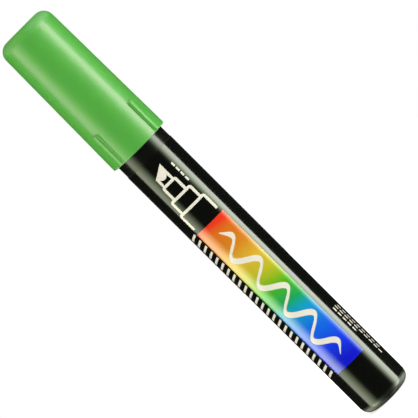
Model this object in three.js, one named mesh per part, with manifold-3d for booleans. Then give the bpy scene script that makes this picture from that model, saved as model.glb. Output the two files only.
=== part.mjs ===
// An acrylic paint marker with a chisel nib, a push valve and a push-on cap.
// Units are millimetres and +Z is up: the marker stands on the flat of its tail, with its cap on top.
// The front of the barrel, where the label's print is centred, faces -Y.
// The paint is loose in the barrel. Pressing the nib pushes the valve's plunger off its seal and
// lets paint run to the nib, and the spring closes the valve again. A steel ball stirs the paint.
import * as THREE from "three";
import { mergeVertices } from "three/addons/utils/BufferGeometryUtils.js";
import Module from "manifold-3d";

// Barrel
const BARREL_LENGTH = 107.5;
const BARREL_RADIUS = 7.93;
const BARREL_WALL = 1.13;
const BARREL_FLOOR = 1.6;
const TAIL_CORNER = 2.4;
const BORE_CORNER = 2.0;
const RIM_CHAMFER = 0.3;
const CAP_BEAD_DEPTH = 4.0; // from the rim down to the bead that the cap snaps over
const CAP_BEAD_HEIGHT = 0.08;
const CAP_BEAD_WIDTH = 1.2;

// Label film, shrunk on the barrel
const FILM_THICKNESS = 0.1;
const FILM_FOOT = 0.2; // above the rounded corner of the tail
const BARE_COLLAR = 3.8; // between the film and the mouth of the cap

// Mixing ball, a quarter of an inch
const BALL_RADIUS = 3.175;

// Nose: a flange on the rim, two steps above it, and a plug inside the barrel
const FLANGE_SETBACK = 0.33;
const FLANGE_HEIGHT = 1.0;
const LOWER_STEP_RADIUS = 6.65;
const LOWER_STEP_HEIGHT = 7.4;
const UPPER_STEP_RADIUS = 4.6;
const UPPER_STEP_HEIGHT = 7.7;
const STEP_DRAFT = 0.06; // what each step loses in radius on its way up
const STEP_EDGE = 0.5;
const PLUG_DEPTH = 9.0;
const PLUG_WALL = 1.4;
const PLUG_LEAD = 0.6;
const SNAP_DEPTH = 3.0; // from the rim down to the middle of the plug's snap bead
const SNAP_WIDTH = 1.2;
const SNAP_HEIGHT = 0.25;
const SEAL_RING_DEPTH = 6.0;
const SEAL_RING_SECTION = 0.38;
const VENT_WIDTH = 1.0;
const VENT_DEPTH = 0.6;

// Nib
const NIB_RADIUS = 3.15;
const NIB_LENGTH = 22.6;
const NIB_REACH = 9.0; // from the mouth of the nose to the tip
const NIB_TRAVEL = 1.8;
const NIB_BACK_CHAMFER = 0.4;
const CHISEL_EDGE = 1.2;
const CHISEL_SLANT_DEG = 28;
const CHISEL_HALF_ANGLE_DEG = 23;

// Valve
const SEAL_THICKNESS = 1.6;
const SEAL_BORE = 2.3;
const SEAL_CHAMFER = 0.7;
const HOUSING_LENGTH = 15.4;
const HOUSING_RIM = 0.55;
const HOUSING_WALL = 1.0;
const HOUSING_COLLAR = 0.8;
const COLLAR_SETBACK = 0.6;
const LEDGE_THICKNESS = 1.2;
const WINDOW_COUNT = 4;
const WINDOW_WIDTH = 2.4;
const WINDOW_HEIGHT = 3.0;
const WINDOW_SILL = 2.2;
const PUSHER_RADIUS = 2.0;
const PUSHER_THICKNESS = 0.8;
const STEM_RADIUS = 1.3;
const HEAD_RADIUS = 3.3;
const HEAD_THICKNESS = 1.0;
const SPIGOT_LENGTH = 2.0;
const TAIL_INSET = 1.1; // from the underside of the spring cup up to the end of the plunger's tail
const SPRING_RADIUS = 2.6; // to the middle of the wire
const WIRE_RADIUS = 0.25;
const OPEN_TURNS = 7;
const END_TURN_PITCH = 0.95;
const CUP_FLANGE = 0.8;
const CUP_PLUG = 1.6;
const CUP_BOSS = 1.0;

// Cap
const CAP_LENGTH = 44.5;
const CAP_MOUTH_RADIUS = 9.275;
const CAP_END_RADIUS = 8.75;
const CAP_CORNER = 3.3;
const CAP_ROOF = 1.3;
const CAP_LIP = 0.3;
const CAP_LEAD = 0.5;
const BORE_DRAFT = 0.03;
const SEAT_DRAFT = 0.2;
const CAP_BORE_CORNER = 1.2;
const RIB_COUNT = 4;
const RIB_LENGTH = 10.7;
const RIB_WIDTH = 2.3;
const RIB_HEIGHT = 0.7;
const RIB_EDGE = 0.75;
const RIB_CORNER = 0.5;
const RIB_ROOT = 0.6;
const RIB_TURN_DEG = 47.5; // from the front to the first rib

// Inner cap, which closes on the nose and keeps the nib wet
const NIB_ROOM = 4.9; // from the tip of the nib to the ceiling
const INNER_CAP_WALL = 0.8;
const INNER_CAP_CORNER = 0.8;
const SKIRT_CLEARANCE = 0.4; // above the flange
const STEP_CLEARANCE = 0.5; // above the lower step
const FIN_COUNT = 6;
const FIN_THICKNESS = 0.8;
const FIN_LENGTH = 18.0;

// Fits and clearances
const FACE_GAP = 0.05; // between faces that bear on each other
const FILM_FIT = 0.02;
const PLUG_FIT = 0.1;
const NIB_FIT = 0.15;
const HOUSING_FIT = 0.1;
const HEAD_CLEARANCE = 0.4;
const STEM_FIT = 0.3;
const SPRING_CLEARANCE = 0.25;
const TRAVEL_CLEARANCE = 0.3;
const CAP_FIT = 0.15;
const INNER_CAP_FIT = 0.15;
const UPPER_STEP_CLEARANCE = 0.25;
const SEAT_FIT = 0.15;
const FIN_CLEARANCE = 0.15;

// Fineness of the facets
const SEGMENTS = 44;
const ARC_STEPS = 2;
const RING_SIDES = 8;
const SPRING_STEPS = 8; // per turn
const WIRE_SIDES = 5;

// Radii and heights that follow from the sizes above. Heights are above the tail face.
const boreRadius = BARREL_RADIUS - BARREL_WALL;
const plugRadius = boreRadius - PLUG_FIT;
const chamberRadius = plugRadius - PLUG_WALL;
const housingRadius = chamberRadius - HOUSING_FIT;
const capBoreRadius = BARREL_RADIUS + CAP_FIT;
const skirtBoreRadius = LOWER_STEP_RADIUS + INNER_CAP_FIT;
const skirtRadius = skirtBoreRadius + INNER_CAP_WALL;
const seatRadius = skirtRadius + SEAT_FIT;
const spigotRadius = SPRING_RADIUS - WIRE_RADIUS - SPRING_CLEARANCE;
const noseShoulder = BARREL_LENGTH + FLANGE_HEIGHT;
const noseTop = noseShoulder + LOWER_STEP_HEIGHT + UPPER_STEP_HEIGHT;
const nibTip = noseTop + NIB_REACH;
const nibBack = nibTip - NIB_LENGTH;
const chamberRoof = nibBack - NIB_TRAVEL - PUSHER_THICKNESS - TRAVEL_CLEARANCE;
const valveTop = chamberRoof - FACE_GAP;
const sealBottom = valveTop - SEAL_THICKNESS;
const housingBottom = valveTop - HOUSING_LENGTH;
const cupBottom = housingBottom - FACE_GAP - CUP_FLANGE;
const springFloor = housingBottom + CUP_PLUG;
const innerCeiling = nibTip + NIB_ROOM;
const innerTop = innerCeiling + INNER_CAP_WALL;
const capRoof = innerTop + 2 * FACE_GAP;
const capMouth = capRoof + CAP_ROOF - CAP_LENGTH;
const innerFoot = noseShoulder + SKIRT_CLEARANCE;

// The plunger's cone lies this far under the chamfer of the seal, measured straight up
const coneDrop = FACE_GAP * Math.SQRT2;
const headTop = sealBottom + SEAL_BORE + SEAL_CHAMFER - coneDrop - HEAD_RADIUS;
const headBottom = headTop - HEAD_THICKNESS;

const wasm = await Module();
wasm.setup();

// Turns a profile of radius and height round the Z axis. It runs up the outside and down the inside.
function revolve(profile) {
  const geometry = new THREE.LatheGeometry(profile.getPoints(ARC_STEPS), SEGMENTS);
  return geometry.rotateX(Math.PI / 2);
}

// A prism of a flat outline, standing on Z = 0
function prism(outline, depth) {
  return new THREE.ExtrudeGeometry(outline, { depth, bevelEnabled: false, curveSegments: 4 });
}

// A closed mesh with its shared corners merged, ready to be joined or cut
function solid(geometry) {
  const bare = geometry.index ? geometry.toNonIndexed() : geometry.clone();
  bare.deleteAttribute("normal");
  bare.deleteAttribute("uv");
  const merged = mergeVertices(bare, 1e-4);
  return new wasm.Manifold(
    new wasm.Mesh({
      numProp: 3,
      vertProperties: merged.attributes.position.array,
      triVerts: new Uint32Array(merged.index.array),
    }),
  );
}

// The joined or cut solid as a three.js geometry
function geometryOf(body) {
  const { vertProperties, triVerts } = body.getMesh();
  const geometry = new THREE.BufferGeometry();
  geometry.setAttribute("position", new THREE.BufferAttribute(new Float32Array(vertProperties), 3));
  geometry.setIndex(new THREE.BufferAttribute(new Uint32Array(triVerts), 1));
  geometry.computeVertexNormals();
  return geometry;
}

// Copies of a geometry set evenly round the Z axis, the first one turned by startDeg
function around(geometry, count, startDeg = 0) {
  return Array.from({ length: count }, (_, i) => {
    const turn = THREE.MathUtils.degToRad(startDeg) + (i * 2 * Math.PI) / count;
    return solid(geometry.clone().rotateZ(turn));
  });
}

const joined = (first, others) => others.reduce((body, other) => body.add(other), first);
const cut = (first, others) => others.reduce((body, other) => body.subtract(other), first);

// Barrel: a closed tube with a rounded tail, a bead for the cap and a groove for the nose's snap
function barrelGeometry() {
  const beadTop = BARREL_LENGTH - CAP_BEAD_DEPTH;
  const beadFoot = beadTop - CAP_BEAD_WIDTH;
  const grooveRadius = boreRadius + SNAP_HEIGHT;
  const grooveTop = BARREL_LENGTH - SNAP_DEPTH + SNAP_WIDTH / 2;
  const grooveFoot = grooveTop - SNAP_WIDTH;
  const profile = new THREE.Path()
    .moveTo(0, 0)
    .lineTo(BARREL_RADIUS - TAIL_CORNER, 0)
    .absarc(BARREL_RADIUS - TAIL_CORNER, TAIL_CORNER, TAIL_CORNER, -Math.PI / 2, 0)
    .lineTo(BARREL_RADIUS, beadFoot)
    .lineTo(BARREL_RADIUS + CAP_BEAD_HEIGHT, beadFoot + CAP_BEAD_WIDTH / 3)
    .lineTo(BARREL_RADIUS + CAP_BEAD_HEIGHT, beadTop - CAP_BEAD_WIDTH / 3)
    .lineTo(BARREL_RADIUS, beadTop)
    .lineTo(BARREL_RADIUS, BARREL_LENGTH - RIM_CHAMFER)
    .lineTo(BARREL_RADIUS - RIM_CHAMFER, BARREL_LENGTH)
    .lineTo(boreRadius + RIM_CHAMFER, BARREL_LENGTH)
    .lineTo(boreRadius, BARREL_LENGTH - RIM_CHAMFER)
    .lineTo(boreRadius, grooveTop)
    .lineTo(grooveRadius, grooveTop - SNAP_HEIGHT)
    .lineTo(grooveRadius, grooveFoot + SNAP_HEIGHT)
    .lineTo(boreRadius, grooveFoot)
    .lineTo(boreRadius, BARREL_FLOOR + BORE_CORNER)
    .absarc(boreRadius - BORE_CORNER, BARREL_FLOOR + BORE_CORNER, BORE_CORNER, 0, -Math.PI / 2, true)
    .lineTo(0, BARREL_FLOOR);
  return revolve(profile);
}

// Label film: a thin tube on the barrel, from just above the tail's corner to the bare collar
function filmGeometry() {
  const inner = BARREL_RADIUS + FILM_FIT;
  const outer = inner + FILM_THICKNESS;
  const foot = TAIL_CORNER + FILM_FOOT;
  const top = capMouth - BARE_COLLAR;
  return revolve(
    new THREE.Path().moveTo(outer, foot).lineTo(outer, top).lineTo(inner, top).lineTo(inner, foot).closePath(),
  );
}

// Nose: a stepped cone with a plug that snaps into the barrel, bored for the nib and for the valve.
// Its heights are above the rim of the barrel.
function noseGeometry() {
  const shoulder = noseShoulder - BARREL_LENGTH;
  const top = noseTop - BARREL_LENGTH;
  const middle = shoulder + LOWER_STEP_HEIGHT;
  const roof = chamberRoof - BARREL_LENGTH;
  const flange = BARREL_RADIUS - FLANGE_SETBACK;
  const nibBore = NIB_RADIUS + NIB_FIT;
  const ringTop = SEAL_RING_SECTION + FACE_GAP - SEAL_RING_DEPTH;
  const ringFoot = -SEAL_RING_SECTION - FACE_GAP - SEAL_RING_DEPTH;
  const ringFloor = boreRadius - 2 * SEAL_RING_SECTION - 2 * FACE_GAP;
  const beadRadius = plugRadius + SNAP_HEIGHT;
  const profile = new THREE.Path()
    .moveTo(chamberRadius, -PLUG_DEPTH)
    .lineTo(plugRadius - PLUG_LEAD, -PLUG_DEPTH)
    .lineTo(plugRadius, PLUG_LEAD - PLUG_DEPTH)
    .lineTo(plugRadius, ringFoot)
    .lineTo(ringFloor, ringFoot)
    .lineTo(ringFloor, ringTop)
    .lineTo(plugRadius, ringTop)
    .lineTo(plugRadius, -SNAP_DEPTH - SNAP_WIDTH / 2 + FACE_GAP)
    .lineTo(beadRadius, -SNAP_DEPTH - SNAP_WIDTH / 2 + SNAP_HEIGHT + FACE_GAP)
    .lineTo(beadRadius, -SNAP_DEPTH + SNAP_WIDTH / 2 - SNAP_HEIGHT - FACE_GAP)
    .lineTo(plugRadius, -SNAP_DEPTH + SNAP_WIDTH / 2 - FACE_GAP)
    .lineTo(plugRadius, FACE_GAP)
    .lineTo(flange, FACE_GAP)
    .lineTo(flange, shoulder - RIM_CHAMFER)
    .lineTo(flange - RIM_CHAMFER, shoulder)
    .lineTo(LOWER_STEP_RADIUS, shoulder)
    .lineTo(LOWER_STEP_RADIUS - STEP_DRAFT, middle - STEP_EDGE)
    .absarc(LOWER_STEP_RADIUS - STEP_DRAFT - STEP_EDGE, middle - STEP_EDGE, STEP_EDGE, 0, Math.PI / 2)
    .lineTo(UPPER_STEP_RADIUS, middle)
    .lineTo(UPPER_STEP_RADIUS - STEP_DRAFT, top - STEP_EDGE)
    .absarc(UPPER_STEP_RADIUS - STEP_DRAFT - STEP_EDGE, top - STEP_EDGE, STEP_EDGE, 0, Math.PI / 2)
    .lineTo(nibBore + RIM_CHAMFER, top)
    .lineTo(nibBore, top - RIM_CHAMFER)
    .lineTo(nibBore, roof)
    .lineTo(chamberRadius, roof)
    .closePath();
  const ventReach = nibBore + VENT_DEPTH;
  const vent = new THREE.BoxGeometry(2 * ventReach, VENT_WIDTH, top - roof);
  vent.translate(0, 0, (top + roof) / 2 + FACE_GAP);
  const vents = [0, Math.PI / 2].map((turn) => solid(vent.clone().rotateZ(turn)));
  return geometryOf(cut(solid(revolve(profile)), vents));
}

// Seal ring in the plug's groove, centred on its own middle
function sealRingGeometry() {
  const middle = boreRadius - SEAL_RING_SECTION - FACE_GAP;
  return new THREE.TorusGeometry(middle, SEAL_RING_SECTION, RING_SIDES, SEGMENTS);
}

// Nib: a round felt rod whose tip is cut to a slanted chisel edge, highest on the +X side.
// Its heights are above its flat back.
function nibGeometry() {
  const rod = new THREE.Path()
    .moveTo(0, 0)
    .lineTo(NIB_RADIUS - NIB_BACK_CHAMFER, 0)
    .lineTo(NIB_RADIUS, NIB_BACK_CHAMFER)
    .lineTo(NIB_RADIUS, NIB_LENGTH + NIB_RADIUS)
    .lineTo(0, NIB_LENGTH + NIB_RADIUS);
  const slant = THREE.MathUtils.degToRad(CHISEL_SLANT_DEG);
  const reach = 2 * NIB_RADIUS;
  const fall = (reach - CHISEL_EDGE / 2) / Math.tan(THREE.MathUtils.degToRad(CHISEL_HALF_ANGLE_DEG));
  const wedge = new THREE.Shape()
    .moveTo(-CHISEL_EDGE / 2, 0)
    .lineTo(-reach, -fall)
    .lineTo(-reach, -2 * NIB_LENGTH)
    .lineTo(reach, -2 * NIB_LENGTH)
    .lineTo(reach, -fall)
    .lineTo(CHISEL_EDGE / 2, 0)
    .closePath();
  const length = 4 * NIB_LENGTH;
  const across = new THREE.Vector3(0, 1, 0);
  const upright = new THREE.Vector3(-Math.sin(slant), 0, Math.cos(slant));
  const along = new THREE.Vector3(Math.cos(slant), 0, Math.sin(slant));
  const chisel = prism(wedge, length).translate(0, 0, -length / 2);
  chisel.applyMatrix4(new THREE.Matrix4().makeBasis(across, upright, along));
  chisel.translate(NIB_RADIUS, 0, NIB_LENGTH);
  return geometryOf(solid(revolve(rod)).intersect(solid(chisel)));
}

// Valve seal: a rubber washer, chamfered underneath where the plunger's cone closes on it
function valveSealGeometry() {
  const outer = housingRadius - HOUSING_RIM - FACE_GAP;
  return revolve(
    new THREE.Path()
      .moveTo(SEAL_BORE + SEAL_CHAMFER, sealBottom)
      .lineTo(outer, sealBottom)
      .lineTo(outer, valveTop)
      .lineTo(SEAL_BORE, valveTop)
      .lineTo(SEAL_BORE, sealBottom + SEAL_CHAMFER)
      .closePath(),
  );
}

// Valve housing: a tube pushed up the nose until its collar meets the plug, with a ledge under the
// seal, a wider chamber for the spring and windows that let the paint in
function housingGeometry() {
  const seat = housingRadius - HOUSING_RIM;
  const throat = HEAD_RADIUS + HEAD_CLEARANCE;
  const bore = housingRadius - HOUSING_WALL;
  const ledgeTop = sealBottom - FACE_GAP;
  const collarTop = BARREL_LENGTH - PLUG_DEPTH - FACE_GAP;
  const collar = plugRadius - COLLAR_SETBACK;
  const profile = new THREE.Path()
    .moveTo(bore, housingBottom)
    .lineTo(housingRadius, housingBottom)
    .lineTo(housingRadius, collarTop - HOUSING_COLLAR)
    .lineTo(collar, collarTop - HOUSING_COLLAR)
    .lineTo(collar, collarTop)
    .lineTo(housingRadius, collarTop)
    .lineTo(housingRadius, valveTop)
    .lineTo(seat, valveTop)
    .lineTo(seat, ledgeTop)
    .lineTo(throat, ledgeTop)
    .lineTo(throat, ledgeTop - LEDGE_THICKNESS)
    .lineTo(bore, ledgeTop - LEDGE_THICKNESS)
    .closePath();
  const window = new THREE.BoxGeometry(2 * housingRadius, WINDOW_WIDTH, WINDOW_HEIGHT);
  window.translate(housingRadius, 0, housingBottom + WINDOW_SILL + WINDOW_HEIGHT / 2);
  return geometryOf(cut(solid(revolve(profile)), around(window, WINDOW_COUNT)));
}

// Plunger: a pusher under the nib, a stem through the seal, a conical head, a spigot that centres
// the spring and a tail that slides in the spring cup
function plungerGeometry() {
  const top = nibBack - FACE_GAP;
  return revolve(
    new THREE.Path()
      .moveTo(0, cupBottom + TAIL_INSET)
      .lineTo(STEM_RADIUS, cupBottom + TAIL_INSET)
      .lineTo(STEM_RADIUS, headBottom - SPIGOT_LENGTH)
      .lineTo(spigotRadius, headBottom - SPIGOT_LENGTH)
      .lineTo(spigotRadius, headBottom)
      .lineTo(HEAD_RADIUS, headBottom)
      .lineTo(HEAD_RADIUS, headTop)
      .lineTo(STEM_RADIUS, headTop + HEAD_RADIUS - STEM_RADIUS)
      .lineTo(STEM_RADIUS, top - PUSHER_THICKNESS)
      .lineTo(PUSHER_RADIUS, top - PUSHER_THICKNESS)
      .lineTo(PUSHER_RADIUS, top)
      .lineTo(0, top),
  );
}

// The middle line of the spring's wire: a steep helix with one closer turn at each end
class SpringLine extends THREE.Curve {
  constructor(radius, length) {
    super();
    this.radius = radius;
    this.length = length;
    this.turns = OPEN_TURNS + 2;
    this.openPitch = (length - 2 * END_TURN_PITCH) / OPEN_TURNS;
  }

  getPoint(t, target = new THREE.Vector3()) {
    const turn = t * this.turns;
    const open = THREE.MathUtils.clamp(turn - 1, 0, OPEN_TURNS);
    const height = (turn - open) * END_TURN_PITCH + open * this.openPitch;
    const angle = 2 * Math.PI * turn;
    return target.set(this.radius * Math.cos(angle), this.radius * Math.sin(angle), height);
  }
}

// Least distance between the surfaces of neighbouring turns, measured on points of the middle line
function leastTurnGap(line) {
  const steps = line.turns * SPRING_STEPS;
  const points = line.getSpacedPoints(steps);
  let least = Infinity;
  points.forEach((point, i) => {
    for (const other of points.slice(i + SPRING_STEPS / 2)) {
      least = Math.min(least, point.distanceTo(other) - 2 * WIRE_RADIUS);
    }
  });
  return least;
}

// Valve spring between the cup and the head of the plunger
function springGeometry() {
  const length = headBottom - springFloor - 2 * (WIRE_RADIUS + FACE_GAP);
  const line = new SpringLine(SPRING_RADIUS, length);
  console.log(`valve_spring: least gap between turns ${leastTurnGap(line).toFixed(2)} mm`);
  const section = new THREE.Shape();
  for (let i = 0; i < WIRE_SIDES; i += 1) {
    const angle = (2 * Math.PI * i) / WIRE_SIDES;
    const [x, y] = [WIRE_RADIUS * Math.cos(angle), WIRE_RADIUS * Math.sin(angle)];
    if (i === 0) section.moveTo(x, y);
    else section.lineTo(x, y);
  }
  section.closePath();
  const wire = new THREE.ExtrudeGeometry(section, {
    steps: line.turns * SPRING_STEPS,
    extrudePath: line,
    bevelEnabled: false,
  });
  return wire.translate(0, 0, springFloor + WIRE_RADIUS + FACE_GAP);
}

// Spring cup: closes the housing from below, carries the spring round a boss and guides the tail
function cupGeometry() {
  const hole = STEM_RADIUS + STEM_FIT;
  const plug = housingRadius - HOUSING_WALL - HOUSING_FIT;
  const flangeTop = cupBottom + CUP_FLANGE;
  return revolve(
    new THREE.Path()
      .moveTo(hole, cupBottom)
      .lineTo(housingRadius, cupBottom)
      .lineTo(housingRadius, flangeTop)
      .lineTo(plug, flangeTop)
      .lineTo(plug, springFloor)
      .lineTo(spigotRadius, springFloor)
      .lineTo(spigotRadius, springFloor + CUP_BOSS)
      .lineTo(hole, springFloor + CUP_BOSS)
      .closePath(),
  );
}

// A grip rib for the outside of the cap, running up from its mouth to a blunt end. It is the
// section across the rib, drawn up the cap and trimmed to the outline seen from outside.
function ribGeometry() {
  const half = RIB_WIDTH / 2;
  const top = CAP_MOUTH_RADIUS + RIB_HEIGHT;
  const root = CAP_MOUTH_RADIUS - RIB_ROOT;
  const section = new THREE.Shape()
    .moveTo(-half, root)
    .lineTo(half, root)
    .lineTo(half, top - RIB_EDGE)
    .absarc(half - RIB_EDGE, top - RIB_EDGE, RIB_EDGE, 0, Math.PI / 2)
    .lineTo(RIB_EDGE - half, top)
    .absarc(RIB_EDGE - half, top - RIB_EDGE, RIB_EDGE, Math.PI / 2, Math.PI)
    .closePath();
  const outline = new THREE.Shape()
    .moveTo(-RIB_WIDTH, CAP_LIP)
    .lineTo(RIB_WIDTH, CAP_LIP)
    .lineTo(RIB_WIDTH, RIB_LENGTH - RIB_CORNER)
    .lineTo(half, RIB_LENGTH - RIB_CORNER)
    .absarc(half - RIB_CORNER, RIB_LENGTH - RIB_CORNER, RIB_CORNER, 0, Math.PI / 2)
    .lineTo(RIB_CORNER - half, RIB_LENGTH)
    .absarc(RIB_CORNER - half, RIB_LENGTH - RIB_CORNER, RIB_CORNER, Math.PI / 2, Math.PI)
    .lineTo(-RIB_WIDTH, RIB_LENGTH - RIB_CORNER)
    .closePath();
  const bar = prism(section, RIB_LENGTH);
  const trim = prism(outline, 2 * top).rotateX(Math.PI / 2).translate(0, 2 * top, 0);
  return geometryOf(solid(bar).intersect(solid(trim)));
}

// Cap shell: a tapered cup with grip ribs round its mouth. Its heights are above its mouth.
function capShellGeometry() {
  const roof = CAP_LENGTH - CAP_ROOF;
  const ledge = innerFoot - capMouth - FACE_GAP;
  const boreTop = capBoreRadius - BORE_DRAFT;
  const seatTop = seatRadius - SEAT_DRAFT;
  const profile = new THREE.Path()
    .moveTo(capBoreRadius + CAP_LEAD, 0)
    .lineTo(CAP_MOUTH_RADIUS - CAP_LIP, 0)
    .absarc(CAP_MOUTH_RADIUS - CAP_LIP, CAP_LIP, CAP_LIP, -Math.PI / 2, 0)
    .lineTo(CAP_END_RADIUS, CAP_LENGTH - CAP_CORNER)
    .absarc(CAP_END_RADIUS - CAP_CORNER, CAP_LENGTH - CAP_CORNER, CAP_CORNER, 0, Math.PI / 2)
    .lineTo(0, CAP_LENGTH)
    .lineTo(0, roof)
    .lineTo(seatTop - CAP_BORE_CORNER, roof)
    .absarc(seatTop - CAP_BORE_CORNER, roof - CAP_BORE_CORNER, CAP_BORE_CORNER, Math.PI / 2, 0, true)
    .lineTo(seatRadius, ledge)
    .lineTo(boreTop, ledge)
    .lineTo(capBoreRadius, CAP_LEAD)
    .closePath();
  const ribs = around(ribGeometry(), RIB_COUNT, 180 + RIB_TURN_DEG);
  return geometryOf(joined(solid(revolve(profile)), ribs));
}

// Inner cap: a liner that closes on the lower step, with fins that centre it in the shell.
// Its heights are above the foot of its skirt.
function innerCapGeometry() {
  const bore = UPPER_STEP_RADIUS + UPPER_STEP_CLEARANCE;
  const radius = bore + INNER_CAP_WALL;
  const skirtRoof = noseShoulder + LOWER_STEP_HEIGHT + STEP_CLEARANCE - innerFoot;
  const shoulder = skirtRoof + INNER_CAP_WALL;
  const ceiling = innerCeiling - innerFoot;
  const top = innerTop - innerFoot;
  const corner = INNER_CAP_CORNER;
  const profile = new THREE.Path()
    .moveTo(skirtBoreRadius + RIM_CHAMFER, 0)
    .lineTo(skirtRadius, 0)
    .lineTo(skirtRadius, shoulder - corner)
    .absarc(skirtRadius - corner, shoulder - corner, corner, 0, Math.PI / 2)
    .lineTo(radius, shoulder)
    .lineTo(radius, top - corner)
    .absarc(radius - corner, top - corner, corner, 0, Math.PI / 2)
    .lineTo(0, top)
    .lineTo(0, ceiling)
    .lineTo(bore - corner, ceiling)
    .absarc(bore - corner, ceiling - corner, corner, Math.PI / 2, 0, true)
    .lineTo(bore, skirtRoof)
    .lineTo(skirtBoreRadius, skirtRoof)
    .lineTo(skirtBoreRadius, RIM_CHAMFER)
    .closePath();
  const finReach = seatRadius - SEAT_DRAFT - FIN_CLEARANCE;
  const finRoot = radius - INNER_CAP_WALL / 2;
  const finFoot = shoulder - INNER_CAP_WALL / 2;
  const fin = new THREE.BoxGeometry(finReach - finRoot, FIN_THICKNESS, FIN_LENGTH);
  fin.translate((finReach + finRoot) / 2, 0, finFoot + FIN_LENGTH / 2);
  return geometryOf(joined(solid(revolve(profile)), around(fin, FIN_COUNT)));
}

// Materials, one for each piece
const plastic = (color, roughness) => new THREE.MeshStandardMaterial({ color, roughness, metalness: 0 });
const metal = (color, roughness) => new THREE.MeshStandardMaterial({ color, roughness, metalness: 1 });

function piece(name, geometry, material, height = 0) {
  const mesh = new THREE.Mesh(geometry, material);
  mesh.name = name;
  mesh.position.z = height;
  return mesh;
}

const body = new THREE.Group();
body.add(
  piece("barrel", barrelGeometry(), plastic(0x101110, 0.3)),
  piece("label_sleeve", filmGeometry(), plastic(0x0b0c0b, 0.22)),
  piece(
    "mixing_ball",
    new THREE.SphereGeometry(BALL_RADIUS, 24, 16).rotateX(Math.PI / 2),
    metal(0xb9bdc0, 0.2),
    BARREL_FLOOR + FACE_GAP + BALL_RADIUS,
  ),
);

const nose = new THREE.Group();
nose.position.z = BARREL_LENGTH;
nose.add(
  piece("nose_cone", noseGeometry(), plastic(0x121312, 0.38)),
  piece("nose_seal", sealRingGeometry(), plastic(0x1c1d20, 0.6), -SEAL_RING_DEPTH),
  piece("nib", nibGeometry(), plastic(0xe9e4d6, 0.95), nibBack - BARREL_LENGTH),
);

const valve = new THREE.Group();
valve.add(
  piece("valve_seal", valveSealGeometry(), plastic(0x26272a, 0.6)),
  piece("valve_housing", housingGeometry(), plastic(0xe4e6e2, 0.5)),
  piece("valve_plunger", plungerGeometry(), plastic(0xf0f0ea, 0.45)),
  piece("valve_spring", springGeometry(), metal(0xc4c7c9, 0.25)),
  piece("spring_cup", cupGeometry(), plastic(0xe4e6e2, 0.5)),
);

const cap = new THREE.Group();
cap.position.z = capMouth;
cap.add(
  piece("cap_shell", capShellGeometry(), plastic(0x4fae3c, 0.35)),
  piece("inner_cap", innerCapGeometry(), plastic(0xe8ebe4, 0.55), innerFoot - capMouth),
);

const group = new THREE.Group();
group.add(body, nose, valve, cap);

export default group;
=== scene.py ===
"""An acrylic paint marker with a chisel nib, a push valve and a push-on cap.

The marker stands on the flat of its tail, with its axis on Z and its label facing -Y. Sizes in this
file are millimetres, and meshes are made in metres.
"""

import logging
import math
from dataclasses import dataclass, field
from enum import Enum
from typing import Callable, Sequence

import bmesh
import bpy
from mathutils import Matrix, Vector


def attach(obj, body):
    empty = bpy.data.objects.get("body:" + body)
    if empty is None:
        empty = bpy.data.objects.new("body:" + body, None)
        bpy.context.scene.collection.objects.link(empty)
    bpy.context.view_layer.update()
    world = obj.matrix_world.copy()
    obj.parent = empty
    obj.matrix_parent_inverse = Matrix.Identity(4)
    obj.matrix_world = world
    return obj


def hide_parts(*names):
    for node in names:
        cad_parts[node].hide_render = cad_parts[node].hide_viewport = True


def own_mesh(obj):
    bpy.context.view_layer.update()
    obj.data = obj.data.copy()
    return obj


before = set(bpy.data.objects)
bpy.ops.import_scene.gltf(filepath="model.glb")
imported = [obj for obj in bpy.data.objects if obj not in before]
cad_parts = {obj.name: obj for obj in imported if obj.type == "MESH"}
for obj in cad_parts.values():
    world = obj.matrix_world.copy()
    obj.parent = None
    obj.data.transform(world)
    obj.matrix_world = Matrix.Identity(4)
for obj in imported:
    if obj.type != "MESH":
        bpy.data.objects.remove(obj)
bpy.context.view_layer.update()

log = logging.getLogger("paint_marker")

MM = 0.001
SIDES = 128  # facets round the axis of a turned piece
CREASE = 40.0  # degrees past which an edge stays sharp
FINE_CREASE = 30.0  # the same, on thin and cut pieces
STRAIGHT = math.radians(178)  # a corner more open than this isn't rounded
SAME = 1e-5  # millimetres within which two points are one
MID = (0.3, 0.7)  # most of a noise's values lie between these

Triple = tuple[float, float, float]
Colour = Triple
Corner = Triple  # a place on an outline and the radius of its rounding
Flat = tuple[float, float]
Stop = tuple[float, Colour]
Object = bpy.types.Object
Node = bpy.types.Node
Point = bmesh.types.BMVert


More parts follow.
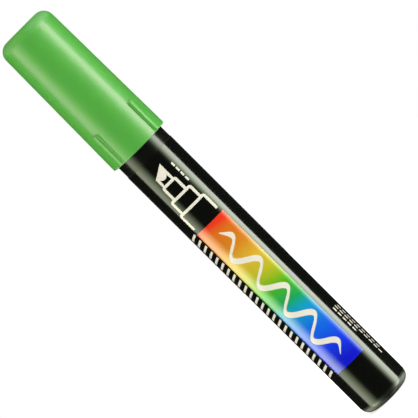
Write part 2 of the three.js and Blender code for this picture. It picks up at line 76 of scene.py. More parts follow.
class Tree:
    """A node tree under construction. A node that is fed to another one stands for its first output."""

    def __init__(self, tree: bpy.types.NodeTree) -> None:
        """Starts from an empty tree.

        Args:
            tree: the node tree to fill.
        """
        self.tree = tree
        tree.nodes.clear()

    def add(self, kind: str, inputs: dict[str | int, object] | None = None, **settings: object) -> Node:
        """Adds one node.

        Args:
            kind: the node's type name.
            inputs: what its inputs get, by name or number.
            settings: properties to set on it.

        Returns:
            The new node.
        """
        node = self.tree.nodes.new(kind)
        for name, value in settings.items():
            setattr(node, name, value)
        for key, value in (inputs or {}).items():
            self.join(value, node.inputs[key])
        return node

    def join(self, source: object, target: bpy.types.NodeSocket) -> None:
        """Links a source to a socket, or writes a plain value into it.

        Args:
            source: a node, an output socket or a value.
            target: the input socket.
        """
        if isinstance(source, Node):
            source = source.outputs[0]
        if isinstance(source, bpy.types.NodeSocket):
            self.tree.links.new(source, target)
        else:
            target.default_value = source

    def math(self, operation: str, *values: object) -> Node:
        """Adds a Math node over sources or numbers."""
        return self.add("ShaderNodeMath", dict(enumerate(values)), operation=operation)

    def spread(self, value: object, *ends: object) -> Node:
        """Adds a Map Range node that takes the first two ends to the last two."""
        return self.add("ShaderNodeMapRange", dict(enumerate((value, *ends))))

    def vector(self, *values: object) -> Node:
        """Adds a Combine XYZ node."""
        return self.add("ShaderNodeCombineXYZ", dict(enumerate(values)))

    def parts(self, vector: object) -> tuple[bpy.types.NodeSocket, ...]:
        """Adds a Separate XYZ node and returns its three sockets."""
        return tuple(self.add("ShaderNodeSeparateXYZ", {0: vector}).outputs)

    def ramp(self, factor: object, stops: Sequence[Stop]) -> Node:
        """Adds a colour ramp.

        Args:
            factor: what drives it.
            stops: places from 0 to 1 with their colours.

        Returns:
            The ramp's node.
        """
        node = self.add("ShaderNodeValToRGB", {"Fac": factor})
        elements = node.color_ramp.elements
        while len(elements) < len(stops):
            elements.new(1.0)
        for element, (place, colour) in zip(elements, stops):
            element.position = place
            element.color = (*colour, 1.0)
        return node

    def mixed(self, factor: object, first: object, second: object) -> bpy.types.NodeSocket:
        """Adds a node that goes from one colour to another, and returns its socket."""
        return self.add("ShaderNodeMix", {0: factor, 6: first, 7: second}, data_type="RGBA").outputs[2]

    def noise(self, place: object, scale: float, detail: float = 2.0) -> Node:
        """Adds a noise texture."""
        return self.add("ShaderNodeTexNoise", {"Vector": place, "Scale": scale, "Detail": detail})


def tinted(colour: Colour, factor: float) -> Colour:
    """Returns the colour with its light multiplied by the factor."""
    return tuple(min(1.0, channel * factor) for channel in colour)


class Surface(Tree):
    """The node tree of a finish: a Principled shader on the piece's own coordinates."""

    def __init__(self, finish: "Finish") -> None:
        """Makes a material with the finish's plain values.

        Args:
            finish: the finish to build.
        """
        self.material = bpy.data.materials.new(finish.name)
        self.material.use_nodes = True
        self.material.diffuse_color = (*finish.colour, 1.0)
        super().__init__(self.material.node_tree)
        self.finish = finish
        self.place = self.add("ShaderNodeTexCoord").outputs["Object"]
        self.shader = self.add("ShaderNodeBsdfPrincipled")
        self.give("Base Color", (*finish.colour, 1.0))
        self.give("Roughness", finish.roughness)
        self.give("IOR", finish.ior)
        self.add("ShaderNodeOutputMaterial", {"Surface": self.shader})

    def give(self, name: str, source: object) -> None:
        """Gives one of the shader's inputs a source or a value."""
        self.join(source, self.shader.inputs[name])

    def speckle(self, scale: float, detail: float = 2.0, stretch: Triple | None = None) -> Node:
        """Adds noise on the piece's own coordinates.

        Args:
            scale: how many bumps go on a metre.
            detail: the noise's detail.
            stretch: factors on the three coordinates, if they aren't alike.

        Returns:
            The noise's node.
        """
        place = self.place
        if stretch:
            place = self.add("ShaderNodeMapping", {"Vector": place, "Scale": stretch})
        return self.noise(place, scale, detail)

    def tone(self, pattern: object, span: Flat, *shades: float) -> None:
        """Lets a pattern change the colour.

        Args:
            pattern: the pattern's source.
            span: its values at the first and the last shade.
            shades: factors on the finish's colour, at equal steps.
        """
        last = len(shades) - 1
        stops = [(i / last, tinted(self.finish.colour, shade)) for i, shade in enumerate(shades)]
        self.give("Base Color", self.ramp(self.spread(pattern, *span, 0.0, 1.0), stops))

    def wear(self, pattern: object, span: Flat, least: float, most: float) -> None:
        """Lets a pattern change the roughness.

        Args:
            pattern: the pattern's source.
            span: its values at the least and the most roughness.
            least: factor on the finish's roughness.
            most: the other factor.
        """
        rough = self.finish.roughness
        self.give("Roughness", self.spread(pattern, *span, rough * least, rough * most))

    def bump(self, height: object, depth: float) -> None:
        """Raises the surface by a pattern, of which 1 stands for the depth in metres."""
        self.give("Normal", self.add("ShaderNodeBump", {"Distance": depth, "Height": height}))


class Grain(Enum):
    """The skin of a mould: how many bumps go on a metre, and how high they are in metres."""

    GLOSSY = (1600.0, 0.8e-6)
    SATIN = (5200.0, 2.6e-6)
    ETCHED = (7800.0, 5.0e-6)


@dataclass(frozen=True)
class Finish:
    """What every finish of the marker shares."""

    name: str
    colour: Colour
    roughness: float
    ior: float = 1.49

    def material(self) -> bpy.types.Material:
        """Builds the finish.

        Returns:
            The new material.
        """
        surface = Surface(self)
        self.detail(surface)
        return surface.material

    def detail(self, surface: Surface) -> None:
        """Adds what makes this finish its own to its surface."""
        raise NotImplementedError


@dataclass(frozen=True)
class Moulding(Finish):
    """Moulded plastic: slow colour drift, flow lines along the draw and the mould's own grain."""

    grain: Grain = Grain.SATIN
    drift: float = 0.05
    drift_scale: float = 95.0
    unevenness: float = 1.0
    flow_scale: float = 800.0
    draw: Triple = (1.0, 1.0, 0.06)
    skin: float = 0.0
    skin_roughness: float = 0.15
    shine: Colour = (1.0, 1.0, 1.0)

    def detail(self, surface: Surface) -> None:
        """Adds the drift, the flow lines, the grain and the smoother skin over it.

        Args:
            surface: the finish's tree.
        """
        surface.give("Coat Weight", self.skin)
        surface.give("Coat Roughness", self.skin_roughness)
        surface.give("Specular Tint", (*self.shine, 1.0))
        surface.tone(surface.speckle(self.drift_scale), MID, 1 - self.drift, 1 + self.drift)
        flow = surface.speckle(self.flow_scale, detail=3.0, stretch=self.draw)
        surface.wear(flow, MID, least=1 - 0.08 * self.unevenness, most=1 + 0.1 * self.unevenness)
        count, height = self.grain.value
        surface.bump(surface.math("MULTIPLY_ADD", flow, 0.5, surface.speckle(count)), height)


@dataclass(frozen=True)
class OnFilm(Finish):
    """What the film and the inks on it share: the film's faint slow waviness."""

    waves: float = 420.0
    wave_height: float = 1.4e-6

    def detail(self, surface: Surface) -> None:
        """Adds the waviness."""
        surface.bump(surface.speckle(self.waves), self.wave_height)


@dataclass(frozen=True)
class Film(OnFilm):
    """Printed film shrunk on a tube, very glossy."""

    def detail(self, surface: Surface) -> None:
        """Adds fine rub marks round the tube and a trace of dust in the print.

        Args:
            surface: the finish's tree.
        """
        super().detail(surface)
        rubs = surface.speckle(scale=5200.0, detail=4.0, stretch=(0.25, 0.25, 1.0))
        surface.wear(rubs, span=(0.3, 0.75), least=0.9, most=1.25)
        surface.tone(surface.speckle(scale=2600.0, detail=3.0), (0.2, 0.9), 1.025, 1.25)


@dataclass(frozen=True)
class Ink(OnFilm):
    """Opaque printing ink."""

    def detail(self, surface: Surface) -> None:
        """Adds the slightly uneven cover of the ink."""
        super().detail(surface)
        surface.tone(surface.speckle(scale=3400.0, detail=4.0), MID, 0.94, 1.03)


@dataclass(frozen=True)
class RainbowInk(OnFilm):
    """Ink that runs through the colours of a rainbow along the piece's own UV map."""

    stops: tuple[Stop, ...] = ()
    lean: float = 0.0
    dot_reach: float = 0.012

    def detail(self, surface: Surface) -> None:
        """Adds the run of colours, which leans a little, and the grain of the print.

        Args:
            surface: the finish's tree.
        """
        super().detail(surface)
        along, across, _ = surface.parts(surface.add("ShaderNodeTexCoord").outputs["UV"])
        leaning = surface.math("MULTIPLY_ADD", surface.math("SUBTRACT", across, 0.5), -self.lean, along)
        dots = surface.math("SUBTRACT", surface.speckle(scale=4200.0, detail=3.0), 0.5)
        share = surface.math("MULTIPLY_ADD", dots, self.dot_reach, leaning)
        surface.give("Base Color", surface.ramp(share, self.stops))


@dataclass(frozen=True)
class Felt(Finish):
    """Pressed felt: fibres that run along the rod, with pores between them."""

    def detail(self, surface: Surface) -> None:
        """Adds the fibres and the pores.

        Args:
            surface: the finish's tree.
        """
        fibres = surface.speckle(scale=6500.0, detail=5.0, stretch=(1.0, 1.0, 0.09))
        pores = surface.speckle(scale=3800.0, detail=3.0)
        surface.tone(surface.math("MULTIPLY", fibres, pores), (0.14, 0.36), 0.72, 1.0, 1.08)
        surface.bump(surface.math("ADD", fibres, pores), depth=45e-6)


@dataclass(frozen=True)
class Rubber(Finish):
    """Moulded rubber with a dusty bloom."""

    bloom: Flat = (0.45, 0.8)
    dustiness: float = 0.15

    def detail(self, surface: Surface) -> None:
        """Adds the bloom, which is duller than the rubber, and a fine skin.

        Args:
            surface: the finish's tree.
        """
        dust = surface.speckle(scale=900.0, detail=4.0)
        surface.tone(dust, self.bloom, 1.0, 2.2)
        surface.wear(dust, self.bloom, 1.0, 1 + self.dustiness / self.roughness)
        surface.bump(surface.speckle(scale=7000.0, detail=3.0), depth=6e-6)


@dataclass(frozen=True)
class Steel(Finish):
    """Bare steel with fine marks of drawing or tumbling."""

    stretch: float = 1.0

    def detail(self, surface: Surface) -> None:
        """Adds the marks and a faint change of tone.

        Args:
            surface: the finish's tree.
        """
        surface.give("Metallic", 1.0)
        marks = surface.speckle(scale=5200.0, detail=5.0, stretch=(1.0, 1.0, self.stretch))
        surface.tone(marks, MID, 0.9, 1.06)
        surface.wear(marks, MID, least=0.8, most=1.3)
        surface.bump(marks, depth=1.5e-6)


CAP_GREEN = Moulding(
    "cap_green",
    (0.0530, 0.350, 0.0255),
    0.29,
    grain=Grain.GLOSSY,
    drift=0.02,
    unevenness=0.3,
    skin=0.5,
    skin_roughness=0.62,
    shine=(1.0, 0.30, 1.0),
)
LINER_MILK = Moulding("liner_milk", (0.80, 0.83, 0.78), 0.42)
TUBE_BLACK = Moulding("tube_black", (0.0028, 0.0033, 0.0024), 0.19, ior=1.46, grain=Grain.GLOSSY)
NOSE_BLACK = Moulding("nose_black", (0.012, 0.013, 0.012), 0.34, grain=Grain.ETCHED)
HOUSING_WHITE = Moulding("housing_white", (0.76, 0.78, 0.75), 0.4)
PLUNGER_WHITE = Moulding("plunger_white", (0.86, 0.86, 0.82), 0.34)
CUP_WHITE = Moulding("cup_white", (0.74, 0.77, 0.74), 0.4)
FILM_BLACK = Film("film_black", (0.0020, 0.0024, 0.0017), 0.11)
INK_WHITE = Ink("ink_white", (0.79, 0.76, 0.67), 0.14)
NIB_FELT = Felt("nib_felt", (0.80, 0.77, 0.67), 0.95)
RING_RUBBER = Rubber("ring_rubber", (0.012, 0.012, 0.014), 0.55)
SEAL_RUBBER = Rubber("seal_rubber", (0.022, 0.022, 0.024), 0.6)
SPRING_STEEL = Steel("spring_steel", (0.58, 0.59, 0.60), 0.24, stretch=0.2)
BALL_STEEL = Steel("ball_steel", (0.62, 0.63, 0.64), 0.13)
INK_RAINBOW = RainbowInk(
    "ink_rainbow",
    (0.08, 0.39, 0.02),
    0.13,
    ior=1.68,
    lean=0.04,
    stops=(
        (0.015, (0.80, 0.035, 0.010)),
        (0.060, (0.68, 0.15, 0.008)),
        (0.160, (0.66, 0.22, 0.010)),
        (0.260, (0.68, 0.44, 0.030)),
        (0.350, (0.50, 0.48, 0.016)),
        (0.460, (0.060, 0.44, 0.006)),
        (0.555, (0.006, 0.37, 0.10)),
        (0.625, (0.002, 0.32, 0.62)),
        (0.740, (0.002, 0.14, 0.78)),
        (0.860, (0.002, 0.040, 0.84)),
        (0.960, (0.002, 0.006, 0.60)),
    ),
)


def rounded(corners: Sequence[Corner], steps: int = 8) -> list[Flat]:
    """Rounds the corners of an open outline.

    Args:
        corners: places with the radius of each one's rounding; the ends stay as they are.
        steps: pieces that a rounding is made of.

    Returns:
        The points of the rounded outline.
    """
    points: list[Flat] = [corners[0][:2]]
    for before, corner, after in zip(corners, corners[1:], corners[2:]):
        here = Vector(corner[:2])
        back, on = Vector(before[:2]) - here, Vector(after[:2]) - here
        bend = back.angle(on)
        if corner[2] <= 0 or bend > STRAIGHT:
            points.append(corner[:2])
            continue
        room = 0.49 * min(back.length, on.length)
        reach = min(corner[2] / math.tan(bend / 2), room)
        radius = reach * math.tan(bend / 2)
        inwards = (back.normalized() + on.normalized()).normalized()
        middle = here + inwards * (radius / math.sin(bend / 2))
        first, last = here + back.normalized() * reach - middle, here + on.normalized() * reach - middle
        sweep = first.angle_signed(last)
        for step in range(steps + 1):
            spoke = first.copy()
            spoke.rotate(Matrix.Rotation(-sweep * step / steps, 2))
            points.append(tuple(middle + spoke))
    points.append(corners[-1][:2])
    return points


def held(points: Sequence[Flat], reach: float = 0.1) -> list[Flat]:
    """Adds points close to both ends of each long straight run, so that shading stays flat between them.

    Args:
        points: an outline.
        reach: how close, in millimetres.

    Returns:
        The outline with the points added.
    """
    kept: list[Flat] = [points[0]]
    for first, last in zip(points, points[1:]):
        run = Vector(last) - Vector(first)
        if run.length > 4 * reach:
            kept.append(tuple(Vector(first) + run.normalized() * reach))
            kept.append(tuple(Vector(last) - run.normalized() * reach))
        if run.length > SAME:
            kept.append(last)
    return kept


def placed(name: str, data: bpy.types.ID) -> Object:
    """Puts data into the scene as an object at the origin.

    Args:
        name: the object's name.
        data: a mesh, a light or a camera.

    Returns:
        The new object.
    """
    made = bpy.data.objects.new(name, data)
    bpy.context.scene.collection.objects.link(made)
    return made


def smoothed(data: bpy.types.Mesh, crease: float) -> bpy.types.Mesh:
    """Shades a mesh smooth, apart from its sharp edges.

    Args:
        data: the mesh.
        crease: angle in degrees past which an edge stays sharp.

    Returns:
        The same mesh.
    """
    data.shade_smooth()
    data.set_sharp_from_angle(angle=math.radians(crease))
    return data


def mesh_object(name: str, shape: bmesh.types.BMesh, crease: float = CREASE) -> Object:
    """Turns a bmesh into an object at the origin, with merged doubles and faces that point outwards.

    Args:
        name: the object's name.
        shape: the bmesh, in millimetres; it is freed.
        crease: angle in degrees past which an edge stays sharp.

    Returns:
        The new object, in metres.
    """
    bmesh.ops.remove_doubles(shape, verts=shape.verts, dist=SAME)
    bmesh.ops.recalc_face_normals(shape, faces=shape.faces)
    bmesh.ops.scale(shape, vec=(MM, MM, MM), verts=shape.verts)
    data = bpy.data.meshes.new(name)
    shape.to_mesh(data)
    shape.free()
    return placed(name, smoothed(data, crease))


def circle(shape: bmesh.types.BMesh, radius: float, heights: Sequence[float]) -> list[Point]:
    """Adds points evenly round the marker's axis.

    Args:
        shape: the bmesh.
        radius: how far from the axis.
        heights: the height of each point.

    Returns:
        The new points.
    """
    turns = [2 * math.pi * side / len(heights) for side in range(len(heights))]
    return [
        shape.verts.new((radius * math.cos(turn), radius * math.sin(turn), height))
        for turn, height in zip(turns, heights)
    ]


def skin(shape: bmesh.types.BMesh, rings: Sequence[Sequence[Point]]) -> None:
    """Joins each ring of points to the next one with faces.

    Args:
        shape: the bmesh.
        rings: rings of equally many points; a pole is one point many times.
    """
    for low, high in zip(rings, rings[1:]):
        for side in range(len(low)):
            after = (side + 1) % len(low)
            corners = dict.fromkeys((low[side], low[after], high[after], high[side]))
            if len(corners) > 2:
                shape.faces.new(tuple(corners))


def turned(name: str, corners: Sequence[Corner], closed: bool = False, steps: int = 8) -> Object:
    """Rounds an outline of radius and height and turns it round the marker's axis.

    Args:
        name: the object's name.
        corners: the outline's corners. An open outline starts and ends on the axis, and the first
            corner of a closed one isn't rounded.
        closed: whether the last corner joins the first one.
        steps: pieces that a rounding is made of.

    Returns:
        The new object.
    """
    shape = bmesh.new()
    if closed:
        points = held(rounded([*corners, corners[0]], steps))[:-1]
    else:
        points = held(rounded(corners, steps))
    rings = []
    for radius, height in points:
        on_axis = radius < SAME
        sides = 1 if on_axis else SIDES
        ring = circle(shape, 0.0 if on_axis else radius, [height] * sides)
        rings.append(ring * SIDES if on_axis else ring)
    skin(shape, [*rings, rings[0]] if closed else rings)
    return mesh_object(name, shape)


def block(name: str, low: Triple, high: Triple, edge: float = 0.0) -> Object:
    """Makes a closed block, to cut with or to be part of a piece.

    Args:
        name: the object's name.
        low: its lowest corner.
        high: its highest corner.
        edge: how far its edges are rounded.

    Returns:
        The block.
    """
    shape = bmesh.new()
    bmesh.ops.create_cube(shape, size=1.0)
    first, last = Vector(low), Vector(high)
    bmesh.ops.scale(shape, vec=last - first, verts=shape.verts)
    bmesh.ops.translate(shape, vec=(first + last) / 2, verts=shape.verts)
    if edge > 0:
        edges = list(shape.edges)
        bmesh.ops.bevel(shape, geom=edges, offset=edge, segments=4, profile=0.5, affect="EDGES")
    return mesh_object(name, shape)


def plain_mesh(source: Object, name: str, crease: float = CREASE) -> Object:
    """Takes the evaluated shape of an object as a plain mesh, and removes the object.

    Args:
        source: an object with modifiers.
        name: the plain object's name.
        crease: angle in degrees past which an edge stays sharp.

    Returns:
        The plain object.
    """
    evaluated = source.evaluated_get(bpy.context.evaluated_depsgraph_get())
    data = bpy.data.meshes.new_from_object(evaluated)
    bpy.data.objects.remove(source)
    data.name = name
    return placed(name, smoothed(data, crease))


def slotted(
    body: Object, reach: float, width: float, foot: float, top: float, edge: float = 0.0
) -> Object:
    """Cuts a cross of two bars through a closed body, straight across its axis.

    Args:
        body: the piece to cut.
        reach: half of a bar's length.
        width: a bar's width.
        foot: the bars' lowest height.
        top: their highest one.
        edge: how far their edges are rounded.

    Returns:
        The cut piece.
    """
    name = body.name
    for x, y in ((reach, width / 2), (width / 2, reach)):
        bar = block("cutting_bar", (-x, -y, foot), (x, y, top), edge)
        modifier = body.modifiers.new("cut", "BOOLEAN")
        modifier.operation, modifier.solver, modifier.object = "DIFFERENCE", "EXACT", bar
        body = plain_mesh(body, name, FINE_CREASE)
        bpy.data.objects.remove(bar)
    return body


def merged(name: str, parts: Sequence[Object]) -> Object:
    """Puts the meshes of several objects into one, and removes the objects.

    Args:
        name: the new object's name.
        parts: objects at the origin.

    Returns:
        The new object.
    """
    shape = bmesh.new()
    for part in parts:
        shape.from_mesh(part.data)
        bpy.data.objects.remove(part)
    data = bpy.data.meshes.new(name)
    shape.to_mesh(data)
    shape.free()
    return placed(name, data)


@dataclass
class Dresser:
    """Puts a finish on a piece and ties it to the marker's frame."""

    made: dict[Finish, bpy.types.Material] = field(default_factory=dict)

    def material(self, finish: Finish) -> bpy.types.Material:
        """Returns the material of a finish, which is built once."""
        if finish not in self.made:
            self.made[finish] = finish.material()
        return self.made[finish]

    def dress(self, piece: Object, finish: Finish, body: str, slot: str, *nodes: str) -> Object:
        """Gives a piece its material and body, and hides the CAD nodes that it stands for.

        Args:
            piece: the finished mesh.
            finish: its finish.
            body: the body that it rides on.
            slot: the record's material slot; not used.
            nodes: CAD nodes that it replaces.

        Returns:
            The same piece.
        """
        piece.data.materials.clear()
        piece.data.materials.append(self.material(finish))
        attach(piece, body)
        if nodes:
            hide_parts(*nodes)
        faces = len(piece.data.polygons)
        log.info("%s: %d faces, rides on %s, %s", piece.name, faces, body, finish.name)
        return piece


class GeometryTree(Tree):
    """A Geometry Nodes tree with named inputs, used once through a modifier."""

    def __init__(self, name: str) -> None:
        """Makes an empty tree that outputs a geometry.

        Args:
            name: the tree's name.
        """
        super().__init__(bpy.data.node_groups.new(name, "GeometryNodeTree"))
        for way in ("INPUT", "OUTPUT"):
            self.tree.interface.new_socket("Geometry", in_out=way, socket_type="NodeSocketGeometry")
        self.given = self.add("NodeGroupInput")
        self.values: dict[str, object] = {}

    def size(self, name: str, value: object, kind: str = "Float") -> bpy.types.NodeSocket:
        """Adds a named input.

        Args:
            name: the input's name.
            value: what the modifier sets it to.
            kind: its socket's kind.

        Returns:
            The input's socket inside the tree.
        """
        socket = self.tree.interface.new_socket(name, in_out="INPUT", socket_type=f"NodeSocket{kind}")
        self.values[socket.identifier] = value
        return self.given.outputs[name]

    def grow(
        self, result: Node, name: str, material: bpy.types.Material, base: Object | None = None
    ) -> Object:
        """Ends the tree in Realize Instances and Set Material, and takes what it makes as a plain mesh.

        Args:
            result: the node that gives the geometry.
            name: the piece's name.
            material: the piece's material.
            base: the object whose mesh goes in, which is removed, if the tree needs one.

        Returns:
            The plain piece.
        """
        real = self.add("GeometryNodeRealizeInstances", {0: result})
        paint = self.size("Material", material, "Material")
        painted = self.add("GeometryNodeSetMaterial", {"Geometry": real, "Material": paint})
        self.add("NodeGroupOutput", {0: painted})
        base = base or placed(name, bpy.data.meshes.new(name))
        modifier = base.modifiers.new(name, "NODES")
        modifier.node_group = self.tree
        for identifier, value in self.values.items():
            modifier[identifier] = value
        return plain_mesh(base, name)


def ring_of_copies(
    piece: Object, name: str, count: int, first_turn: float, material: bpy.types.Material
) -> Object:
    """Sets copies of a piece evenly round the marker's axis.

    Args:
        piece: the piece in its place at no turn; it is removed.
        name: the result's name.
        count: how many copies.
        first_turn: the first copy's turn in degrees.
        material: the copies' material.

    Returns:
        All copies as one plain mesh.
    """
    tree = GeometryTree("ring_of_copies")
    number = tree.size("Count", count, "Int")
    start = tree.size("First turn", math.radians(first_turn))
    points = tree.add("GeometryNodePoints", {"Count": number})
    step = tree.math("DIVIDE", 2 * math.pi, number)
    turn = tree.math("MULTIPLY_ADD", tree.add("GeometryNodeInputIndex"), step, start)
    rotation = tree.add("FunctionNodeEulerToRotation", {0: tree.vector(0.0, 0.0, turn)})
    inputs = {"Points": points, "Instance": tree.given.outputs["Geometry"], "Rotation": rotation}
    return tree.grow(tree.add("GeometryNodeInstanceOnPoints", inputs), name, material, piece)


@dataclass
class CapAssembly:
    """The green push-on cap and the milky liner in it."""

    mouth: float = 95.2
    end: float = 139.7
    mouth_radius: float = 9.275
    end_radius: float = 8.708
    corner: float = 3.3
    lead_in: float = 0.5
    bore_radius: float = 8.08
    bore_draft: float = 0.03
    seat_foot: float = 108.85
    seat_radius: float = 7.75
    seat_draft: float = 0.2
    roof: float = 138.4
    rib_count: int = 4
    rib_turn: float = 46.4
    rib_width: float = 2.3
    rib_top: float = 9.975
    rib_root: float = 8.2
    rib_foot: float = 95.5
    rib_end: float = 105.9
    rib_ease: float = 1.0
    rib_edge: float = 0.87
    rib_corner: float = 0.5
    rib_crown: float = 0.35
    liner_foot: float = 108.9
    liner_top: float = 138.3
    liner_roof: float = 137.5
    skirt_bore: float = 6.8
    skirt_radius: float = 7.6
    skirt_top: float = 117.2
    skirt_roof: float = 116.4
    skirt_lead_in: float = 0.3
    tube_bore: float = 4.85
    tube_radius: float = 5.65
    fin_count: int = 6
    fin_foot: float = 116.8
    fin_root: float = 5.25
    fin_reach: float = 7.4
    fin_thickness: float = 0.8
    fin_length: float = 18.0

    def shell(self) -> Object:
        """Builds the tapered cup.

        Returns:
            The shell without its ribs.
        """
        corners = [
            (0.0, self.end, 0.0),
            (self.end_radius, self.end, self.corner),
            (self.mouth_radius, self.mouth, 0.3),
            (self.bore_radius + self.lead_in, self.mouth, 0.08),
            (self.bore_radius, self.mouth + self.lead_in, 0.2),
            (self.bore_radius - self.bore_draft, self.seat_foot, 0.08),
            (self.seat_radius, self.seat_foot, 0.08),
            (self.seat_radius - self.seat_draft, self.roof, 1.2),
            (0.0, self.roof, 0.0),
        ]
        return turned("cap_cup", corners)

    @staticmethod
    def eased(radius: float, left: float) -> float:
        """Returns how far a rounded end draws in, with a length left to its tip."""
        return 0.0 if left >= radius else radius - math.sqrt(radius**2 - (radius - left) ** 2)

    def ribs(self, material: bpy.types.Material) -> Object:
        """Builds the grip ribs round the mouth.

        Args:
            material: the cap's material.

        Returns:
            All ribs as one mesh.
        """
        ease, levels, end_levels = self.rib_ease, 12, 10
        first, run = self.rib_foot + ease, self.rib_end - self.rib_foot - 2 * ease
        turns = [math.pi / 2 * i / end_levels for i in range(end_levels + 1)]
        heights = [self.rib_foot + rise for rise in (0.0, 0.1, 0.3)]
        heights += [first + run * i / levels for i in range(levels + 1)]
        heights += [self.rib_end - self.rib_corner * (1 - math.sin(turn)) for turn in turns]
        shape = bmesh.new()
        sections = []
        for height in heights:
            left = self.rib_end - height
            half = self.rib_width / 2 - self.eased(self.rib_corner, left)
            top = self.rib_top - self.eased(self.rib_crown, left)
            corners = [(-half, self.rib_root, 0.0), (-half, top, self.rib_edge)]
            corners += [(half, top, self.rib_edge), (half, self.rib_root, 0.0)]
            sections.append([shape.verts.new((x, -reach, height)) for x, reach in rounded(corners)])
        skin(shape, sections)
        shape.faces.new(sections[0])
        shape.faces.new(sections[-1])
        rib = mesh_object("one_rib", shape)
        return ring_of_copies(rib, "cap_ribs", self.rib_count, self.rib_turn, material)

    def liner(self) -> Object:
        """Builds the liner that closes on the nose.

        Returns:
            The liner without its fins.
        """
        corners = [
            (0.0, self.liner_top, 0.0),
            (self.tube_radius, self.liner_top, 0.8),
            (self.tube_radius, self.skirt_top, 0.15),
            (self.skirt_radius, self.skirt_top, 0.8),
            (self.skirt_radius, self.liner_foot, 0.1),
            (self.skirt_bore + self.skirt_lead_in, self.liner_foot, 0.05),
            (self.skirt_bore, self.liner_foot + self.skirt_lead_in, 0.1),
            (self.skirt_bore, self.skirt_roof, 0.1),
            (self.tube_bore, self.skirt_roof, 0.1),
            (self.tube_bore, self.liner_roof, 0.8),
            (0.0, self.liner_roof, 0.0),
        ]
        return turned("liner_tube", corners)

    def fins(self, material: bpy.types.Material) -> Object:
        """Builds the fins that centre the liner in the shell.

        Args:
            material: the liner's material.

        Returns:
            All fins as one mesh.
        """
        side = self.fin_thickness / 2
        high = (self.fin_reach, side, self.fin_foot + self.fin_length)
        fin = block("one_fin", (self.fin_root, -side, self.fin_foot), high, 0.15)
        return ring_of_copies(fin, "liner_fins", self.fin_count, 0.0, material)

    def build(self, dresser: Dresser) -> None:
        """Builds and dresses the cap's pieces.

        Args:
            dresser: what puts finishes on pieces.
        """
        cap = merged("cap_moulding", [self.shell(), self.ribs(dresser.material(CAP_GREEN))])
        dresser.dress(cap, CAP_GREEN, "cap", "cap_plastic", "cap_shell")
        liner = merged("liner_moulding", [self.liner(), self.fins(dresser.material(LINER_MILK))])
        dresser.dress(liner, LINER_MILK, "cap", "liner_plastic", "inner_cap")


@dataclass
class BarrelAssembly:
    """The black tube with its rounded tail, the film on it and the loose ball in it."""

    length: float = 107.5
    radius: float = 7.93
    bore: float = 6.8
    floor: float = 1.6
    tail_corner: float = 2.4
    bead_foot: float = 102.3
    bead_top: float = 103.5
    bead_radius: float = 8.01
    groove_foot: float = 103.9
    groove_top: float = 105.1
    groove_depth: float = 0.25
    film_foot: float = 2.6
    film_top: float = 91.4
    film_inner: float = 7.95
    film_outer: float = 8.05
    film_edge: float = 0.03
    ball_radius: float = 3.175
    ball_height: float = 4.825
    ball_steps: int = 48

    def tube(self) -> Object:
        """Builds the closed tube.

        Returns:
            The tube with its cap bead and its snap groove.
        """
        width = (self.bead_top - self.bead_foot) / 3
        snap, slope = self.bore + self.groove_depth, self.groove_depth
        corners = [
            (0.0, 0.0, 0.0),
            (self.radius, 0.0, self.tail_corner),
            (self.radius, self.bead_foot, 0.4),
            (self.bead_radius, self.bead_foot + width, 0.4),
            (self.bead_radius, self.bead_top - width, 0.4),
            (self.radius, self.bead_top, 0.4),
            (self.radius, self.length, 0.3),
            (self.bore, self.length, 0.3),
            (self.bore, self.groove_top, 0.05),
            (snap, self.groove_top - slope, 0.1),
            (snap, self.groove_foot + slope, 0.1),
            (self.bore, self.groove_foot, 0.05),
            (self.bore, self.floor, 2.0),
            (0.0, self.floor, 0.0),
        ]
        return turned("barrel_tube", corners, steps=10)

    def film(self) -> Object:
        """Builds the thin printed film.

        Returns:
            The film as a closed sleeve.
        """
        middle = self.film_inner + (self.film_outer - self.film_inner) / 2
        corners = [
            (middle, self.film_foot, 0.0),
            (self.film_outer, self.film_foot, self.film_edge),
            (self.film_outer, self.film_top, self.film_edge),
            (self.film_inner, self.film_top, self.film_edge),
            (self.film_inner, self.film_foot, self.film_edge),
        ]
        return turned("label_film", corners, closed=True, steps=3)

    def ball(self) -> Object:
        """Builds the mixing ball.

        Returns:
            The ball, resting on the barrel's floor.
        """
        corners = []
        for step in range(self.ball_steps + 1):
            turn = math.pi * step / self.ball_steps
            rise = self.ball_height - self.ball_radius * math.cos(turn)
            corners.append((self.ball_radius * math.sin(turn), rise, 0.0))
        return turned("steel_ball", corners)

    def build(self, dresser: Dresser) -> None:
        """Builds and dresses the barrel's pieces.

        Args:
            dresser: what puts finishes on pieces.
        """
        dresser.dress(self.tube(), TUBE_BLACK, "barrel", "barrel_plastic", "barrel")
        dresser.dress(self.film(), FILM_BLACK, "barrel", "label_film", "label_sleeve")
        dresser.dress(self.ball(), BALL_STEEL, "ball", "ball_steel", "mixing_ball")


@dataclass(frozen=True)
class Marks:
    """A row of equal marks that runs up the label.

    The row's middle is an arc length, its foot is the height of the lowest mark's middle, a mark's size
    is given across and along the label, and the slant is how far it leans along for each millimetre
    across.
    """

    name: str
    middle: float
    foot: float
    count: int
    pitch: float
    size: Flat
    slant: float = 0.0


